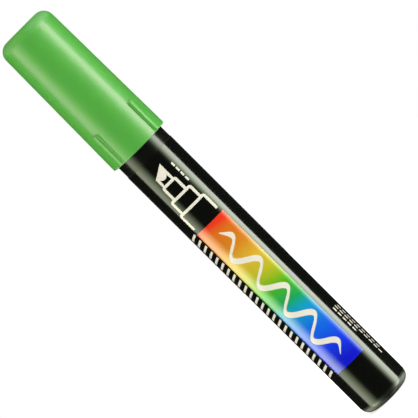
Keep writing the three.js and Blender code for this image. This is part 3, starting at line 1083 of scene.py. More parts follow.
@dataclass
class LabelPrint:
    """What is printed on the film: a rainbow band, a brush stroke, a picture of the tip and marks.

    Places on the label are an arc length from the front line towards +X and a height.
    """

    radius: float = 8.05
    ink_depth: float = 0.006
    ink_lift: float = 0.006
    band_middle: float = -1.25
    band_half: float = 5.25
    band_foot: float = 14.8
    band_top: float = 68.0
    band_rows: int = 60
    band_columns: int = 40
    stroke_lift: float = 0.014
    stroke_margin: float = 3.6
    stroke_reach: float = 2.75
    stroke_waves: float = 4.5
    stroke_steps: int = 360
    stroke_angle: float = 38.0
    stroke_narrow: float = 0.7
    stroke_gain: float = 0.95
    swing_fade: Flat = (0.35, 6.0)
    width_fade: Flat = (0.15, 14.0)
    picture_middle: float = -1.31
    picture_steps: tuple[Triple, ...] = ((4.50, 69.45, 74.6), (3.50, 75.0, 78.8), (2.18, 79.2, 83.15))
    picture_bend: float = 0.55
    line_width: float = 0.8
    tip_half: float = 1.98
    tip_foot: float = 83.55
    tip_top: float = 88.6
    tip_fall: float = 2.5
    notch_top: float = 85.6
    notch_depth: float = 1.0
    tip_columns: int = 24
    tip_levels: int = 6
    rows: tuple[Marks, ...] = (
        Marks("slanted_ticks", -8.75, 15.8, 25, 2.165, (3.5, 0.75), 0.32),
        Marks("caption_rule", 3.15, 80.7, 4, 1.75, (0.55, 1.3)),
        Marks("fine_rule_low", 6.95, 20.2, 5, 1.85, (0.5, 1.35)),
        Marks("fine_rule_middle", 8.25, 10.9, 10, 1.85, (0.45, 1.35)),
        Marks("fine_rule_high", 9.5, 12.2, 9, 1.85, (0.45, 1.35)),
    )

    def sheet(
        self, name: str, rows: Sequence[Sequence[Flat]], lift: float, mapped: bool = False
    ) -> Object:
        """Lays a thin closed patch of ink round the film.

        Args:
            name: the object's name.
            rows: rows of equally many places, which make a grid.
            lift: height of the patch's outside above the film.
            mapped: whether the patch gets a UV map over its rows and columns.

        Returns:
            The patch.
        """
        shape = bmesh.new()
        chart = shape.loops.layers.uv.new("chart") if mapped else None
        layers = []
        for radius in (self.radius + lift, self.radius + lift - self.ink_depth):
            grid = []
            for row in rows:
                turns = [(place / self.radius, height) for place, height in row]
                grid.append(
                    [shape.verts.new((radius * math.sin(a), -radius * math.cos(a), z)) for a, z in turns]
                )
            layers.append(grid)
        last_row, last_column = len(rows) - 1, len(rows[0]) - 1

        def face(*cells: tuple[int, int, int]) -> None:
            """Adds a face.

            Args:
                cells: the layer, row and column of each corner, which gives its UV too.
            """
            made = shape.faces.new([layers[layer][row][column] for layer, row, column in cells])
            if chart:
                for loop, (_, row, column) in zip(made.loops, cells):
                    loop[chart].uv = (row / last_row, column / last_column)

        for row in range(last_row):
            below = row + 1
            for column in range(last_column):
                on = column + 1
                for n in (0, 1):
                    face((n, row, column), (n, row, on), (n, below, on), (n, below, column))
            for column in (0, last_column):
                face((0, row, column), (0, below, column), (1, below, column), (1, row, column))
        for column in range(last_column):
            on = column + 1
            for row in (0, last_row):
                face((0, row, column), (0, row, on), (1, row, on), (1, row, column))
        return mesh_object(name, shape, FINE_CREASE)

    def line(
        self, name: str, path: Sequence[Flat], width: Callable[[float, Flat], float], lift: float
    ) -> Object:
        """Draws a line of ink along a path.

        Args:
            name: the object's name.
            path: the places of its middle.
            width: gives the width at a share of the length and a direction.
            lift: height of the ink above the film.

        Returns:
            The line.
        """
        rows = []
        for i, here in enumerate(path):
            before, after = Vector(path[max(i - 1, 0)]), Vector(path[min(i + 1, len(path) - 1)])
            along = (after - before).normalized()
            side = Vector((along.y, -along.x))
            half = width(i / (len(path) - 1), tuple(along)) / 2
            shares = (-1.0, -0.5, 0.0, 0.5, 1.0)
            rows.append([tuple(Vector(here) + side * half * share) for share in shares])
        return self.sheet(name, rows, lift)

    def band(self) -> Object:
        """Builds the rainbow band.

        Returns:
            The band, with its colours running along its UV map's U.
        """
        shares = [2 * column / self.band_columns - 1 for column in range(self.band_columns + 1)]
        places = [self.band_middle + self.band_half * share for share in shares]
        rows = []
        for row in range(self.band_rows + 1):
            height = self.band_top + (self.band_foot - self.band_top) * row / self.band_rows
            rows.append([(place, height) for place in places])
        return self.sheet("rainbow_band", rows, self.ink_lift, mapped=True)

    @staticmethod
    def faded(share: float, least: float, rate: float) -> float:
        """Returns a factor that is least at both ends of a line and grows from there to 1 at a rate."""
        return min(1.0, least + rate * share, least + rate * (1 - share))

    def stroke(self) -> Object:
        """Builds the off-white wave that a broad nib might have drawn on the band.

        Returns:
            The wave, wide where it runs across the nib's edge and narrow along it.
        """
        foot, top = self.band_foot + self.stroke_margin, self.band_top - self.stroke_margin
        path = []
        for step in range(self.stroke_steps + 1):
            share = step / self.stroke_steps
            swing = self.stroke_reach * math.sin(2 * math.pi * self.stroke_waves * share)
            place = self.band_middle + swing * self.faded(share, *self.swing_fade)
            path.append((place, top + (foot - top) * share))
        angle = math.radians(self.stroke_angle)

        def nib_width(share: float, along: Flat) -> float:
            """Finds how wide the nib writes.

            Args:
                share: the place along the stroke, from 0 to 1.
                along: the stroke's direction there.

            Returns:
                The width.
            """
            across = abs(along[0] * math.sin(angle) - along[1] * math.cos(angle))
            width = self.stroke_narrow + self.stroke_gain * across
            return width * self.faded(share, *self.width_fade)

        return self.line("brush_wave", path, nib_width, self.stroke_lift)

    def tip_picture(self) -> Object:
        """Builds the outline of the nose and its slanted nib.

        Returns:
            The picture as one mesh.
        """
        centre, bend = self.picture_middle, self.picture_bend
        parts = []
        for number, (reach, foot, top) in enumerate(self.picture_steps):
            left, right = centre - reach, centre + reach
            corners = [(right, foot, 0.0), (right, top, bend), (left, top, bend), (left, foot, 0.0)]
            name, path = f"nose_line_{number}", self.finely(rounded(corners, steps=10))
            parts.append(self.line(name, path, lambda *_: self.line_width, self.ink_lift))
        parts.append(self.nib_shape())
        return merged("tip_picture", parts)

    def nib_shape(self) -> Object:
        """Builds the nib of the picture: two sides and a filled slanted tip.

        Returns:
            The nib.
        """
        open_share = 1 - self.line_width / self.tip_half
        rows = []
        for column in range(self.tip_columns + 1):
            share = column / self.tip_columns
            place = self.picture_middle + self.tip_half - 2 * self.tip_half * share
            top = self.tip_top - self.tip_fall * share
            inner = min(abs(share - 0.5) * 2, 1.0)
            bulge = math.sqrt(max(0.0, 1 - (inner / open_share) ** 2))
            low = self.tip_foot if inner > open_share else self.notch_top - self.notch_depth * bulge
            levels = range(self.tip_levels + 1)
            rows.append([(place, low + (top - low) * level / self.tip_levels) for level in levels])
        return self.sheet("nib_shape", rows, self.ink_lift)

    @staticmethod
    def finely(path: Sequence[Flat], step: float = 0.35) -> list[Flat]:
        """Splits the long runs of a path, so that it follows the tube.

        Args:
            path: the path's points.
            step: longest run that stays.

        Returns:
            The path with points added.
        """
        points = [path[0]]
        for first, last in zip(path, path[1:]):
            run = Vector(last) - Vector(first)
            pieces = max(1, math.ceil(run.length / step))
            points += [tuple(Vector(first) + run * (i + 1) / pieces) for i in range(pieces)]
        return points

    def marks(self, row: Marks, material: bpy.types.Material) -> Object:
        """Prints a row of equal marks up the label.

        Args:
            row: the marks' number, place and size.
            material: the marks' material.

        Returns:
            All marks as one plain mesh.
        """
        tree = GeometryTree("row_of_marks")
        number = tree.size("Count", row.count, "Int")
        spacing = tree.size("Pitch", row.pitch * MM)
        across = tree.size("Size across", row.size[0] * MM)
        along = tree.size("Size along", row.size[1] * MM)
        thickness = tree.size("Ink thickness", self.ink_depth * MM)
        lean = tree.size("Slant", row.slant)
        radius = tree.size("Tube radius", (self.radius + self.ink_lift) * MM)
        start = tree.size("Middle", row.middle * MM)
        height = tree.size("Foot", row.foot * MM)
        size = {"Size": tree.vector(across, thickness, along)}
        pieces = {"Vertices X": 9, "Vertices Y": 2, "Vertices Z": 3}
        mark = tree.add("GeometryNodeMeshCube", {**size, **pieces})
        offset = tree.vector(0.0, 0.0, spacing)
        line = tree.add("GeometryNodeMeshLine", {"Count": number, "Offset": offset})
        copies = tree.add("GeometryNodeInstanceOnPoints", {"Points": line, "Instance": mark})
        real = tree.add("GeometryNodeRealizeInstances", {0: copies})
        x, y, z = tree.parts(tree.add("GeometryNodeInputPosition"))
        depth = tree.math("MULTIPLY_ADD", thickness, 0.5, y)
        outside = tree.math("SUBTRACT", radius, depth)
        turn = tree.math("DIVIDE", tree.math("ADD", x, start), radius)
        front = tree.math("MULTIPLY", tree.math("COSINE", turn), -1.0)
        place = tree.vector(
            tree.math("MULTIPLY", outside, tree.math("SINE", turn)),
            tree.math("MULTIPLY", outside, front),
            tree.math("ADD", tree.math("MULTIPLY_ADD", x, lean, z), height),
        )
        wrapped = tree.add("GeometryNodeSetPosition", {"Geometry": real, "Position": place})
        return tree.grow(wrapped, row.name, material)

    def build(self, dresser: Dresser) -> None:
        """Builds and dresses everything that is printed.

        Args:
            dresser: what puts finishes on pieces.
        """
        dresser.dress(self.band(), INK_RAINBOW, "barrel", "label_film")
        dresser.dress(self.stroke(), INK_WHITE, "barrel", "label_film")
        dresser.dress(self.tip_picture(), INK_WHITE, "barrel", "label_film")
        for row in self.rows:
            marks = self.marks(row, dresser.material(INK_WHITE))
            dresser.dress(marks, INK_WHITE, "barrel", "label_film")


@dataclass
class NoseAssembly:
    """The stepped nose, the rubber ring round its plug and the felt nib."""

    rim: float = 107.5
    rim_gap: float = 0.05
    flange_radius: float = 7.6
    flange_top: float = 108.5
    lower_radius: float = 6.65
    lower_top: float = 115.9
    upper_radius: float = 4.6
    upper_top: float = 123.6
    draft: float = 0.06
    plug_radius: float = 6.7
    plug_foot: float = 98.5
    plug_chamfer: float = 0.6
    snap_height: float = 104.5
    snap_rise: float = 0.25
    snap_half: float = 0.55
    snap_flat: float = 0.3
    chamber_radius: float = 5.3
    chamber_roof: float = 107.1
    nib_bore: float = 3.3
    vent_width: float = 1.0
    vent_reach: float = 3.9
    ring_height: float = 101.5
    ring_middle: float = 6.37
    ring_section: float = 0.38
    ring_steps: int = 24
    groove_floor: float = 5.94
    groove_half: float = 0.43
    nib_radius: float = 3.15
    nib_back: float = 110.0
    nib_bevel: tuple[Flat, ...] = ((0.4, 0.0), (0.1, 0.25), (0.0, 0.5))
    nib_tip: float = 132.6
    tip_margin: float = 0.02
    nib_sides: int = 144
    nib_levels: int = 30
    slant: float = 28.0
    edge: float = 1.2
    edge_softness: float = 0.12
    rim_rounding: float = 0.22
    half_angle: float = 23.0

    def moulding(self) -> Object:
        """Builds the nose, bored for the nib and the valve, with its air vents.

        Returns:
            The nose.
        """
        bead, chamfer = self.plug_radius + self.snap_rise, self.plug_chamfer
        groove_foot = self.ring_height - self.groove_half
        groove_top = self.ring_height + self.groove_half
        corners = [
            (self.chamber_radius + chamfer, self.plug_foot, 0.0),
            (self.plug_radius - chamfer, self.plug_foot, 0.1),
            (self.plug_radius, self.plug_foot + chamfer, 0.2),
            (self.plug_radius, groove_foot, 0.05),
            (self.groove_floor, groove_foot, 0.05),
            (self.groove_floor, groove_top, 0.05),
            (self.plug_radius, groove_top, 0.05),
            (self.plug_radius, self.snap_height - self.snap_half, 0.1),
            (bead, self.snap_height - self.snap_flat, 0.15),
            (bead, self.snap_height + self.snap_flat, 0.15),
            (self.plug_radius, self.snap_height + self.snap_half, 0.1),
            (self.plug_radius, self.rim + self.rim_gap, 0.05),
            (self.flange_radius, self.rim + self.rim_gap, 0.08),
            (self.flange_radius, self.flange_top, 0.3),
            (self.lower_radius, self.flange_top, 0.15),
            (self.lower_radius - self.draft, self.lower_top, 0.5),
            (self.upper_radius, self.lower_top, 0.15),
            (self.upper_radius - self.draft, self.upper_top, 0.5),
            (self.nib_bore, self.upper_top, 0.25),
            (self.nib_bore, self.chamber_roof, 0.05),
            (self.chamber_radius, self.chamber_roof, 0.1),
            (self.chamber_radius, self.plug_foot, 0.15),
        ]
        nose = turned("nose_moulding", corners, closed=True)
        foot, top = self.chamber_roof - 0.2, self.upper_top + 0.5  # a little past both ends of the bore
        return slotted(nose, self.vent_reach, self.vent_width, foot, top)

    def ring(self) -> Object:
        """Builds the rubber ring.

        Returns:
            The ring in its groove.
        """
        section = []
        for step in range(self.ring_steps):
            turn = 2 * math.pi * step / self.ring_steps
            reach = self.ring_middle + self.ring_section * math.cos(turn)
            section.append((reach, self.ring_height + self.ring_section * math.sin(turn), 0.0))
        return turned("nose_ring", section, closed=True)

    def tip_height(self, radius: float, turn: float) -> float:
        """Finds the height of the nib's cut end over a place.

        Args:
            radius: how far the place is from the axis.
            turn: how far it is round the axis, in radians from +X.

        Returns:
            The height, with the chisel's edge and the rim softened.
        """
        x, y = radius * math.cos(turn), radius * math.sin(turn)
        slant, soft, rim = math.radians(self.slant), self.edge_softness, self.rim_rounding
        off = abs(y) - self.edge / 2
        past = soft * math.log1p(math.exp(off / soft))
        fall = past / (math.tan(math.radians(self.half_angle)) * math.cos(slant))
        inset = self.nib_radius - math.hypot(x, y)
        near = 0.98 * max(0.0, (rim - inset) / rim) ** 2  # at 1 the rounding would end upright
        drop = rim * (1 - math.sqrt(1 - near))
        return self.nib_tip - self.tip_margin - (self.nib_radius - x) * math.tan(slant) - fall - drop

    def nib(self) -> Object:
        """Builds the felt nib, cut to a slanted chisel edge that is highest on the +X side.

        Returns:
            The nib.
        """
        shape = bmesh.new()
        sides, radius, back = self.nib_sides, self.nib_radius, self.nib_back
        turns = [2 * math.pi * side / sides for side in range(sides)]
        rims = [self.tip_height(radius, turn) for turn in turns]
        rings = [
            circle(shape, radius - inset, [back + rise] * sides)
            for inset, rise in self.nib_bevel
        ]
        base = back + self.nib_bevel[-1][1]
        for level in range(1, self.nib_levels):
            share = level / self.nib_levels
            rings.append(circle(shape, radius, [base + (top - base) * share for top in rims]))
        insets = [0.0, 0.01, 0.03, 0.06, 0.1, 0.15, 0.2, 0.26]  # rings lie closer at the softened rim
        insets += [insets[-1] + (radius - insets[-1]) * i / 40 for i in range(1, 40)]
        for inset in insets:
            heights = [self.tip_height(radius - inset, turn) for turn in turns]
            rings.append(circle(shape, radius - inset, heights))
        foot, tip = (shape.verts.new((0.0, 0.0, height)) for height in (back, self.tip_height(0.0, 0.0)))
        skin(shape, [[foot] * sides, *rings, [tip] * sides])
        return mesh_object("felt_nib", shape, crease=50.0)

    def build(self, dresser: Dresser) -> None:
        """Builds and dresses the nose's pieces.

        Args:
            dresser: what puts finishes on pieces.
        """
        dresser.dress(self.moulding(), NOSE_BLACK, "barrel", "nose_plastic", "nose_cone")
        dresser.dress(self.ring(), RING_RUBBER, "barrel", "ring_rubber", "nose_seal")
        dresser.dress(self.nib(), NIB_FELT, "nib", "nib_felt", "nib")


@dataclass
class ValveAssembly:
    """The seal, housing, plunger, spring and cup that let paint through when the nib is pressed.

    A start is the radius at which a closed outline starts, on the straight run along its foot.
    """

    top: float = 107.05
    seal_foot: float = 105.45
    seal_start: float = 4.0
    seal_radius: float = 4.6
    seal_bore: float = 2.3
    seal_cone: float = 0.7
    housing_foot: float = 91.65
    housing_start: float = 4.7
    housing_radius: float = 5.2
    collar_radius: float = 6.1
    collar_top: float = 98.45
    collar_height: float = 0.8
    seat_bore: float = 4.65
    ledge_bore: float = 3.7
    ledge_top: float = 105.4
    ledge_height: float = 1.2
    bore: float = 4.2
    window_width: float = 2.4
    window_reach: float = 7.0
    window_foot: float = 93.85
    window_top: float = 96.85
    window_edge: float = 0.35
    cup_foot: float = 90.8
    cup_start: float = 3.4
    cup_flange: float = 0.8
    cup_plug: float = 4.1
    guide_radius: float = 2.1
    guide_bore: float = 1.6
    guide_height: float = 1.0
    spring_floor: float = 93.25
    head_foot: float = 104.08
    head_height: float = 1.0
    cone_height: float = 2.0
    stem_radius: float = 1.3
    head_radius: float = 3.3
    spigot_radius: float = 2.1
    spigot_length: float = 2.0
    pusher_radius: float = 2.0
    pusher_height: float = 0.8
    plunger_top: float = 109.95
    plunger_foot: float = 91.9
    spring_radius: float = 2.6
    spring_gap: float = 0.05
    wire_radius: float = 0.25
    wire_sides: int = 14
    open_turns: int = 7
    end_pitch: float = 0.95
    steps_per_turn: int = 28
    travel: float = 1.8

    def seal(self) -> Object:
        """Builds the rubber washer that the plunger closes on.

        Returns:
            The washer, with its cone facing down.
        """
        corners = [
            (self.seal_start, self.seal_foot, 0.0),
            (self.seal_radius, self.seal_foot, 0.1),
            (self.seal_radius, self.top, 0.1),
            (self.seal_bore, self.top, 0.1),
            (self.seal_bore, self.seal_foot + self.seal_cone, 0.08),
            (self.seal_bore + self.seal_cone, self.seal_foot, 0.08),
        ]
        return turned("seal_washer", corners, closed=True)

    def housing(self) -> Object:
        """Builds the housing.

        Returns:
            The housing with its ledge, collar and paint windows.
        """
        collar_foot = self.collar_top - self.collar_height
        ledge_foot = self.ledge_top - self.ledge_height
        corners = [
            (self.housing_start, self.housing_foot, 0.0),
            (self.housing_radius, self.housing_foot, 0.12),
            (self.housing_radius, collar_foot, 0.1),
            (self.collar_radius, collar_foot, 0.1),
            (self.collar_radius, self.collar_top, 0.1),
            (self.housing_radius, self.collar_top, 0.05),
            (self.housing_radius, self.top, 0.12),
            (self.seat_bore, self.top, 0.1),
            (self.seat_bore, self.ledge_top, 0.05),
            (self.ledge_bore, self.ledge_top, 0.1),
            (self.ledge_bore, ledge_foot, 0.1),
            (self.bore, ledge_foot, 0.1),
            (self.bore, self.housing_foot, 0.12),
        ]
        housing = turned("housing_moulding", corners, closed=True)
        foot, top = self.window_foot, self.window_top
        return slotted(housing, self.window_reach, self.window_width, foot, top, self.window_edge)

    def plunger(self) -> Object:
        """Builds the plunger.

        Returns:
            Its pusher, stem, conical head, spigot and tail in one moulding.
        """
        head_top = self.head_foot + self.head_height
        spigot_foot = self.head_foot - self.spigot_length
        pusher_foot = self.plunger_top - self.pusher_height
        corners = [
            (0.0, self.plunger_foot, 0.0),
            (self.stem_radius, self.plunger_foot, 0.25),
            (self.stem_radius, spigot_foot, 0.05),
            (self.spigot_radius, spigot_foot, 0.2),
            (self.spigot_radius, self.head_foot, 0.05),
            (self.head_radius, self.head_foot, 0.15),
            (self.head_radius, head_top, 0.15),
            (self.stem_radius, head_top + self.cone_height, 0.3),
            (self.stem_radius, pusher_foot, 0.1),
            (self.pusher_radius, pusher_foot, 0.12),
            (self.pusher_radius, self.plunger_top, 0.12),
            (0.0, self.plunger_top, 0.0),
        ]
        return turned("plunger_moulding", corners)

    def cup(self) -> Object:
        """Builds the cup that closes the housing and carries the spring.

        Returns:
            The cup, with its flange below and its guide in the spring.
        """
        flange_top, guide_top = self.cup_foot + self.cup_flange, self.spring_floor + self.guide_height
        corners = [
            (self.cup_start, self.cup_foot, 0.0),
            (self.housing_radius, self.cup_foot, 0.15),
            (self.housing_radius, flange_top, 0.1),
            (self.cup_plug, flange_top, 0.05),
            (self.cup_plug, self.spring_floor, 0.12),
            (self.guide_radius, self.spring_floor, 0.05),
            (self.guide_radius, guide_top, 0.15),
            (self.guide_bore, guide_top, 0.08),
            (self.guide_bore, self.cup_foot, 0.1),
        ]
        return turned("cup_moulding", corners, closed=True)

    def spring(self, material: bpy.types.Material) -> Object:
        """Builds the spring from its rule: open turns between one closer turn at each end.

        Args:
            material: the wire's material.

        Returns:
            The spring.
        """
        foot = self.spring_floor + self.wire_radius + self.spring_gap
        top = self.head_foot - self.wire_radius - self.spring_gap
        open_pitch = (top - foot - 2 * self.end_pitch) / self.open_turns
        tree = GeometryTree("coil_spring")
        radius = tree.size("Coil radius", self.spring_radius * MM)
        wire = tree.size("Wire radius", self.wire_radius * MM)
        turns = tree.size("Open turns", self.open_turns, "Int")
        low = tree.size("Foot", foot * MM)
        close = tree.size("End pitch", self.end_pitch * MM)
        pitch = tree.size("Open pitch", open_pitch * MM)
        steps = tree.size("Steps", self.steps_per_turn * (self.open_turns + 2), "Int")
        line = tree.add("GeometryNodeCurvePrimitiveLine")
        split = tree.add("GeometryNodeResampleCurve", {"Curve": line, "Count": steps})
        share = tree.add("GeometryNodeSplineParameter").outputs["Factor"]
        turn = tree.math("MULTIPLY", share, tree.math("ADD", turns, 2.0))
        past_end = tree.math("MAXIMUM", tree.math("SUBTRACT", turn, 1.0), 0.0)
        opened = tree.math("MINIMUM", past_end, turns)
        closed = tree.math("SUBTRACT", turn, opened)
        rise = tree.math("MULTIPLY_ADD", opened, pitch, tree.math("MULTIPLY_ADD", closed, close, low))
        angle = tree.math("MULTIPLY", turn, 2 * math.pi)
        place = tree.vector(
            tree.math("MULTIPLY", radius, tree.math("COSINE", angle)),
            tree.math("MULTIPLY", radius, tree.math("SINE", angle)),
            rise,
        )
        coil = tree.add("GeometryNodeSetPosition", {"Geometry": split, "Position": place})
        round_wire = {"Resolution": self.wire_sides, "Radius": wire}
        section = tree.add("GeometryNodeCurvePrimitiveCircle", round_wire)
        inputs = {"Curve": coil, "Profile Curve": section, "Fill Caps": True}
        return tree.grow(tree.add("GeometryNodeCurveToMesh", inputs), "spring_wire", material)

    def build(self, dresser: Dresser) -> None:
        """Builds and dresses the valve's pieces.

        Args:
            dresser: what puts finishes on pieces.
        """
        dresser.dress(self.seal(), SEAL_RUBBER, "barrel", "seal_rubber", "valve_seal")
        dresser.dress(self.housing(), HOUSING_WHITE, "barrel", "housing_plastic", "valve_housing")
        dresser.dress(self.plunger(), PLUNGER_WHITE, "plunger", "plunger_plastic", "valve_plunger")
        dresser.dress(self.cup(), CUP_WHITE, "barrel", "cup_plastic", "spring_cup")
        spring = self.spring(dresser.material(SPRING_STEEL))
        dresser.dress(spring, SPRING_STEEL, "barrel", "spring_steel", "valve_spring")
        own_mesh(spring)


@dataclass(frozen=True)
class Glow:
    """How bright and of what tint the room is in one direction round the marker."""

    turn: float
    share: float
    tint: Colour = (1.0, 1.0, 1.0)

    def stop(self) -> Stop:
        """Returns the place and the colour on a ramp that goes all the way round."""
        return (self.turn + 180) / 360, tinted(self.tint, self.share)


def glows(*rows: tuple) -> tuple[Glow, ...]:
    """Returns the glows of rows that hold a turn, a share and, where it isn't white, a tint."""
    return tuple(Glow(*row) for row in rows)


@dataclass(frozen=True)
class SoftBox:
    """A tall soft box that only gloss sees, with its brightness across and up."""

    name: str
    across: tuple[Glow, ...]
    upright: tuple[Flat, ...]


@dataclass(frozen=True)
class Lamp:
    """A square lamp: degrees round and above the marker, watts, and metres along a side."""

    name: str
    turn: float
    rise: float
    power: float
    size: float


@dataclass
class Studio:
    """The floor, the lights and the camera. Turns are degrees from the front towards +X."""

    floor_size: float = 0.8
    floor_drop: float = 0.02
    floor_glow: float = 0.58
    fibre_scale: float = 220.0
    paper: tuple[Colour, Colour] = ((0.79, 0.79, 0.78), (0.81, 0.81, 0.80))
    distance: float = 0.75
    lift: float = 5.0
    roll: float = 45.13
    view_width: float = 112.06
    aim: Triple = (1.375, 0.0, 70.10)
    sensor: float = 36.0
    clip: Flat = (0.01, 20.0)
    white: tuple[float, ...] = (1.0, 1.0, 1.0, 1.0)
    lamp_tint: Colour = (1.0, 0.98, 0.86)
    lamp_aim: float = 0.07
    light_distance: float = 1.2
    lamps: tuple[Lamp, ...] = (
        Lamp("key_lamp", 66.0, 24.0, 8.8, 0.7),
        Lamp("fill_lamp", -64.0, 22.0, 6.1, 0.8),
        Lamp("back_lamp", 180.0, 24.0, 4.0, 0.7),
    )
    plain: float = 0.80
    room: tuple[Glow, ...] = glows(
        (-180.0, 1.0), (-155.0, 0.85), (-132.0, 0.25), (-104.0, 0.25), (-78.0, 1.0, (1.0, 0.98, 0.84)),
        (-30.0, 0.85, (1.0, 0.99, 0.92)), (30.0, 0.87), (80.0, 1.0), (106.0, 0.28), (132.0, 0.25),
        (155.0, 0.85), (180.0, 1.0),
    )
    dim: float = 0.022
    box_power: float = 52.8
    boxes: tuple[SoftBox, ...] = (
        SoftBox(
            "right_box",
            glows(
                (35.0, 0.0), (40.0, 0.012, (0.76, 1.0, 0.64)), (45.0, 0.068, (0.80, 1.0, 0.66)),
                (54.0, 0.380, (0.85, 1.0, 0.70)), (63.0, 0.820, (0.90, 1.0, 0.78)),
                (72.0, 0.933, (0.94, 1.0, 0.84)), (80.0, 0.925, (0.95, 1.0, 0.86)),
            ),
            (
                (-1.36, 0.0), (-1.1, 0.71), (-0.25, 0.8), (-0.11, 1.0), (-0.05, 0.93), (0.03, 0.73),
                (0.35, 0.71), (0.9, 0.0),
            ),
        ),
        SoftBox(
            "left_box",
            glows(
                (-88.2, 0.425, (0.92, 1.0, 0.73)), (-82.0, 0.450, (0.92, 1.0, 0.72)),
                (-76.0, 0.475, (0.92, 1.0, 0.72)), (-67.0, 0.388, (0.88, 1.0, 0.66)),
                (-58.0, 0.262, (0.84, 1.0, 0.62)), (-49.0, 0.120, (0.80, 1.0, 0.59)),
                (-41.0, 0.018, (0.76, 1.0, 0.56)), (-37.0, 0.0),
            ),
            ((-1.36, 0.0), (-1.1, 0.71), (0.35, 0.71), (0.9, 0.0)),
        ),
    )
    below_strength: float = 6.5
    below_edge: Flat = (-0.40, -0.20)
    below_fade: Flat = (-0.90, -0.60)
    below_least: float = 0.4
    below: tuple[Glow, ...] = glows(
        (-180.0, 0.01), (-165.0, 0.03, (0.88, 1.0, 0.75)), (-150.0, 0.11, (0.88, 1.0, 0.70)),
        (-125.0, 0.38, (0.88, 1.0, 0.66)), (-80.0, 0.75, (0.88, 1.0, 0.66)),
        (-50.0, 0.29, (0.84, 1.0, 0.76)), (-20.0, 0.06, (0.80, 1.0, 0.78)),
        (20.0, 0.05, (0.80, 1.0, 0.78)), (50.0, 0.24, (0.84, 1.0, 0.76)),
        (80.0, 0.85, (0.90, 1.0, 0.80)), (125.0, 0.45, (0.90, 1.0, 0.82)),
        (150.0, 0.11, (0.90, 1.0, 0.82)), (165.0, 0.03, (0.88, 1.0, 0.80)), (180.0, 0.01),
    )
    above_strength: float = 3.0
    above_edge: Flat = (0.12, 0.36)
    above: tuple[Glow, ...] = glows(
        (-180.0, 0.04, (1.0, 1.0, 0.7)), (-140.0, 0.16, (1.0, 1.0, 0.7)),
        (-100.0, 0.62, (1.0, 1.0, 0.7)), (-62.0, 0.34, (1.0, 1.0, 0.7)), (-32.0, 0.20, (1.0, 1.0, 0.8)),
        (0.0, 0.10), (32.0, 0.42), (62.0, 0.62), (100.0, 0.90), (140.0, 0.20), (180.0, 0.04),
    )

    def camera(self) -> None:
        """Sets the camera at the photograph's angle."""
        lift, roll = math.radians(self.lift), math.radians(self.roll)
        ahead = Vector((0.0, math.cos(lift), -math.sin(lift)))
        right, up = Vector((1.0, 0.0, 0.0)), Vector((0.0, math.sin(lift), math.cos(lift)))
        picture_right = right * math.cos(roll) - up * math.sin(roll)
        picture_up = up * math.cos(roll) + right * math.sin(roll)
        data = bpy.data.cameras.new("camera")
        data.sensor_width = self.sensor
        data.lens = self.sensor * self.distance / (self.view_width * MM)
        data.clip_start, data.clip_end = self.clip
        eye = placed("camera", data)
        turn = Matrix((picture_right, picture_up, -ahead)).transposed().to_4x4()
        eye.matrix_world = Matrix.Translation(Vector(self.aim) * MM - ahead * self.distance) @ turn
        bpy.context.scene.camera = eye

    def world(self) -> None:
        """Makes an even room for colour, and a dim one for gloss that glows from below and above."""
        world = bpy.data.worlds.new("studio")
        world.use_nodes = True
        bpy.context.scene.world = world
        tree = Tree(world.node_tree)
        x, y, height = tree.parts(tree.add("ShaderNodeTexCoord").outputs["Generated"])
        turn = tree.math("ARCTAN2", x, tree.math("MULTIPLY", y, -1.0))
        share = tree.spread(turn, -math.pi, math.pi, 0.0, 1.0)

        def lit(rows: Sequence[Glow], strength: object) -> Node:
            """Adds a ramp through directions round the marker, times a strength."""
            ramp = tree.ramp(share, [row.stop() for row in rows])
            return tree.add("ShaderNodeVectorMath", {0: ramp, "Scale": strength}, operation="SCALE")

        edge = tree.spread(height, *self.below_edge, 1.0, 0.0)
        fade = tree.spread(height, *self.below_fade, self.below_least, 1.0)
        low = tree.math("MULTIPLY", fade, tree.math("MULTIPLY", edge, self.below_strength))
        edge = tree.spread(height, *self.above_edge, 0.0, 1.0)
        high = tree.math("MULTIPLY", edge, self.above_strength)
        gloss = tree.vector(self.dim, self.dim, self.dim)
        for glow in (lit(self.below, low), lit(self.above, high)):
            gloss = tree.add("ShaderNodeVectorMath", {0: gloss, 1: glow}, operation="ADD")
        path = tree.add("ShaderNodeLightPath").outputs
        seen = tree.math("MAXIMUM", path["Is Camera Ray"], path["Is Transmission Ray"])
        light = tree.mixed(path["Is Glossy Ray"], lit(self.room, self.plain), gloss)
        background = tree.add("ShaderNodeBackground", {"Color": tree.mixed(seen, light, self.white)})
        tree.add("ShaderNodeOutputWorld", {"Surface": background})

    def floor(self) -> None:
        """Lays a pale floor that shows white to the camera and keeps the marker's shadow."""
        shape = bmesh.new()
        bmesh.ops.create_grid(shape, x_segments=1, y_segments=1, size=self.floor_size / 2 / MM)
        bmesh.ops.translate(shape, vec=(0, 0, -self.floor_drop), verts=shape.verts)
        floor = mesh_object("floor", shape)
        made = bpy.data.materials.new("paper")
        made.use_nodes = True
        tree = Tree(made.node_tree)
        place = tree.add("ShaderNodeTexCoord").outputs["Object"]
        paper = tree.ramp(tree.noise(place, self.fibre_scale, detail=3.0), list(zip(MID, self.paper)))
        seen = tree.add("ShaderNodeLightPath").outputs["Is Camera Ray"]
        strength = tree.math("MULTIPLY", seen, self.floor_glow)
        glow = tree.add("ShaderNodeEmission", {"Strength": strength})
        both = {0: tree.add("ShaderNodeBsdfDiffuse", {0: paper}), 1: glow}
        tree.add("ShaderNodeOutputMaterial", {"Surface": tree.add("ShaderNodeAddShader", both)})
        floor.data.materials.append(made)
        floor.visible_glossy = floor.visible_shadow = False

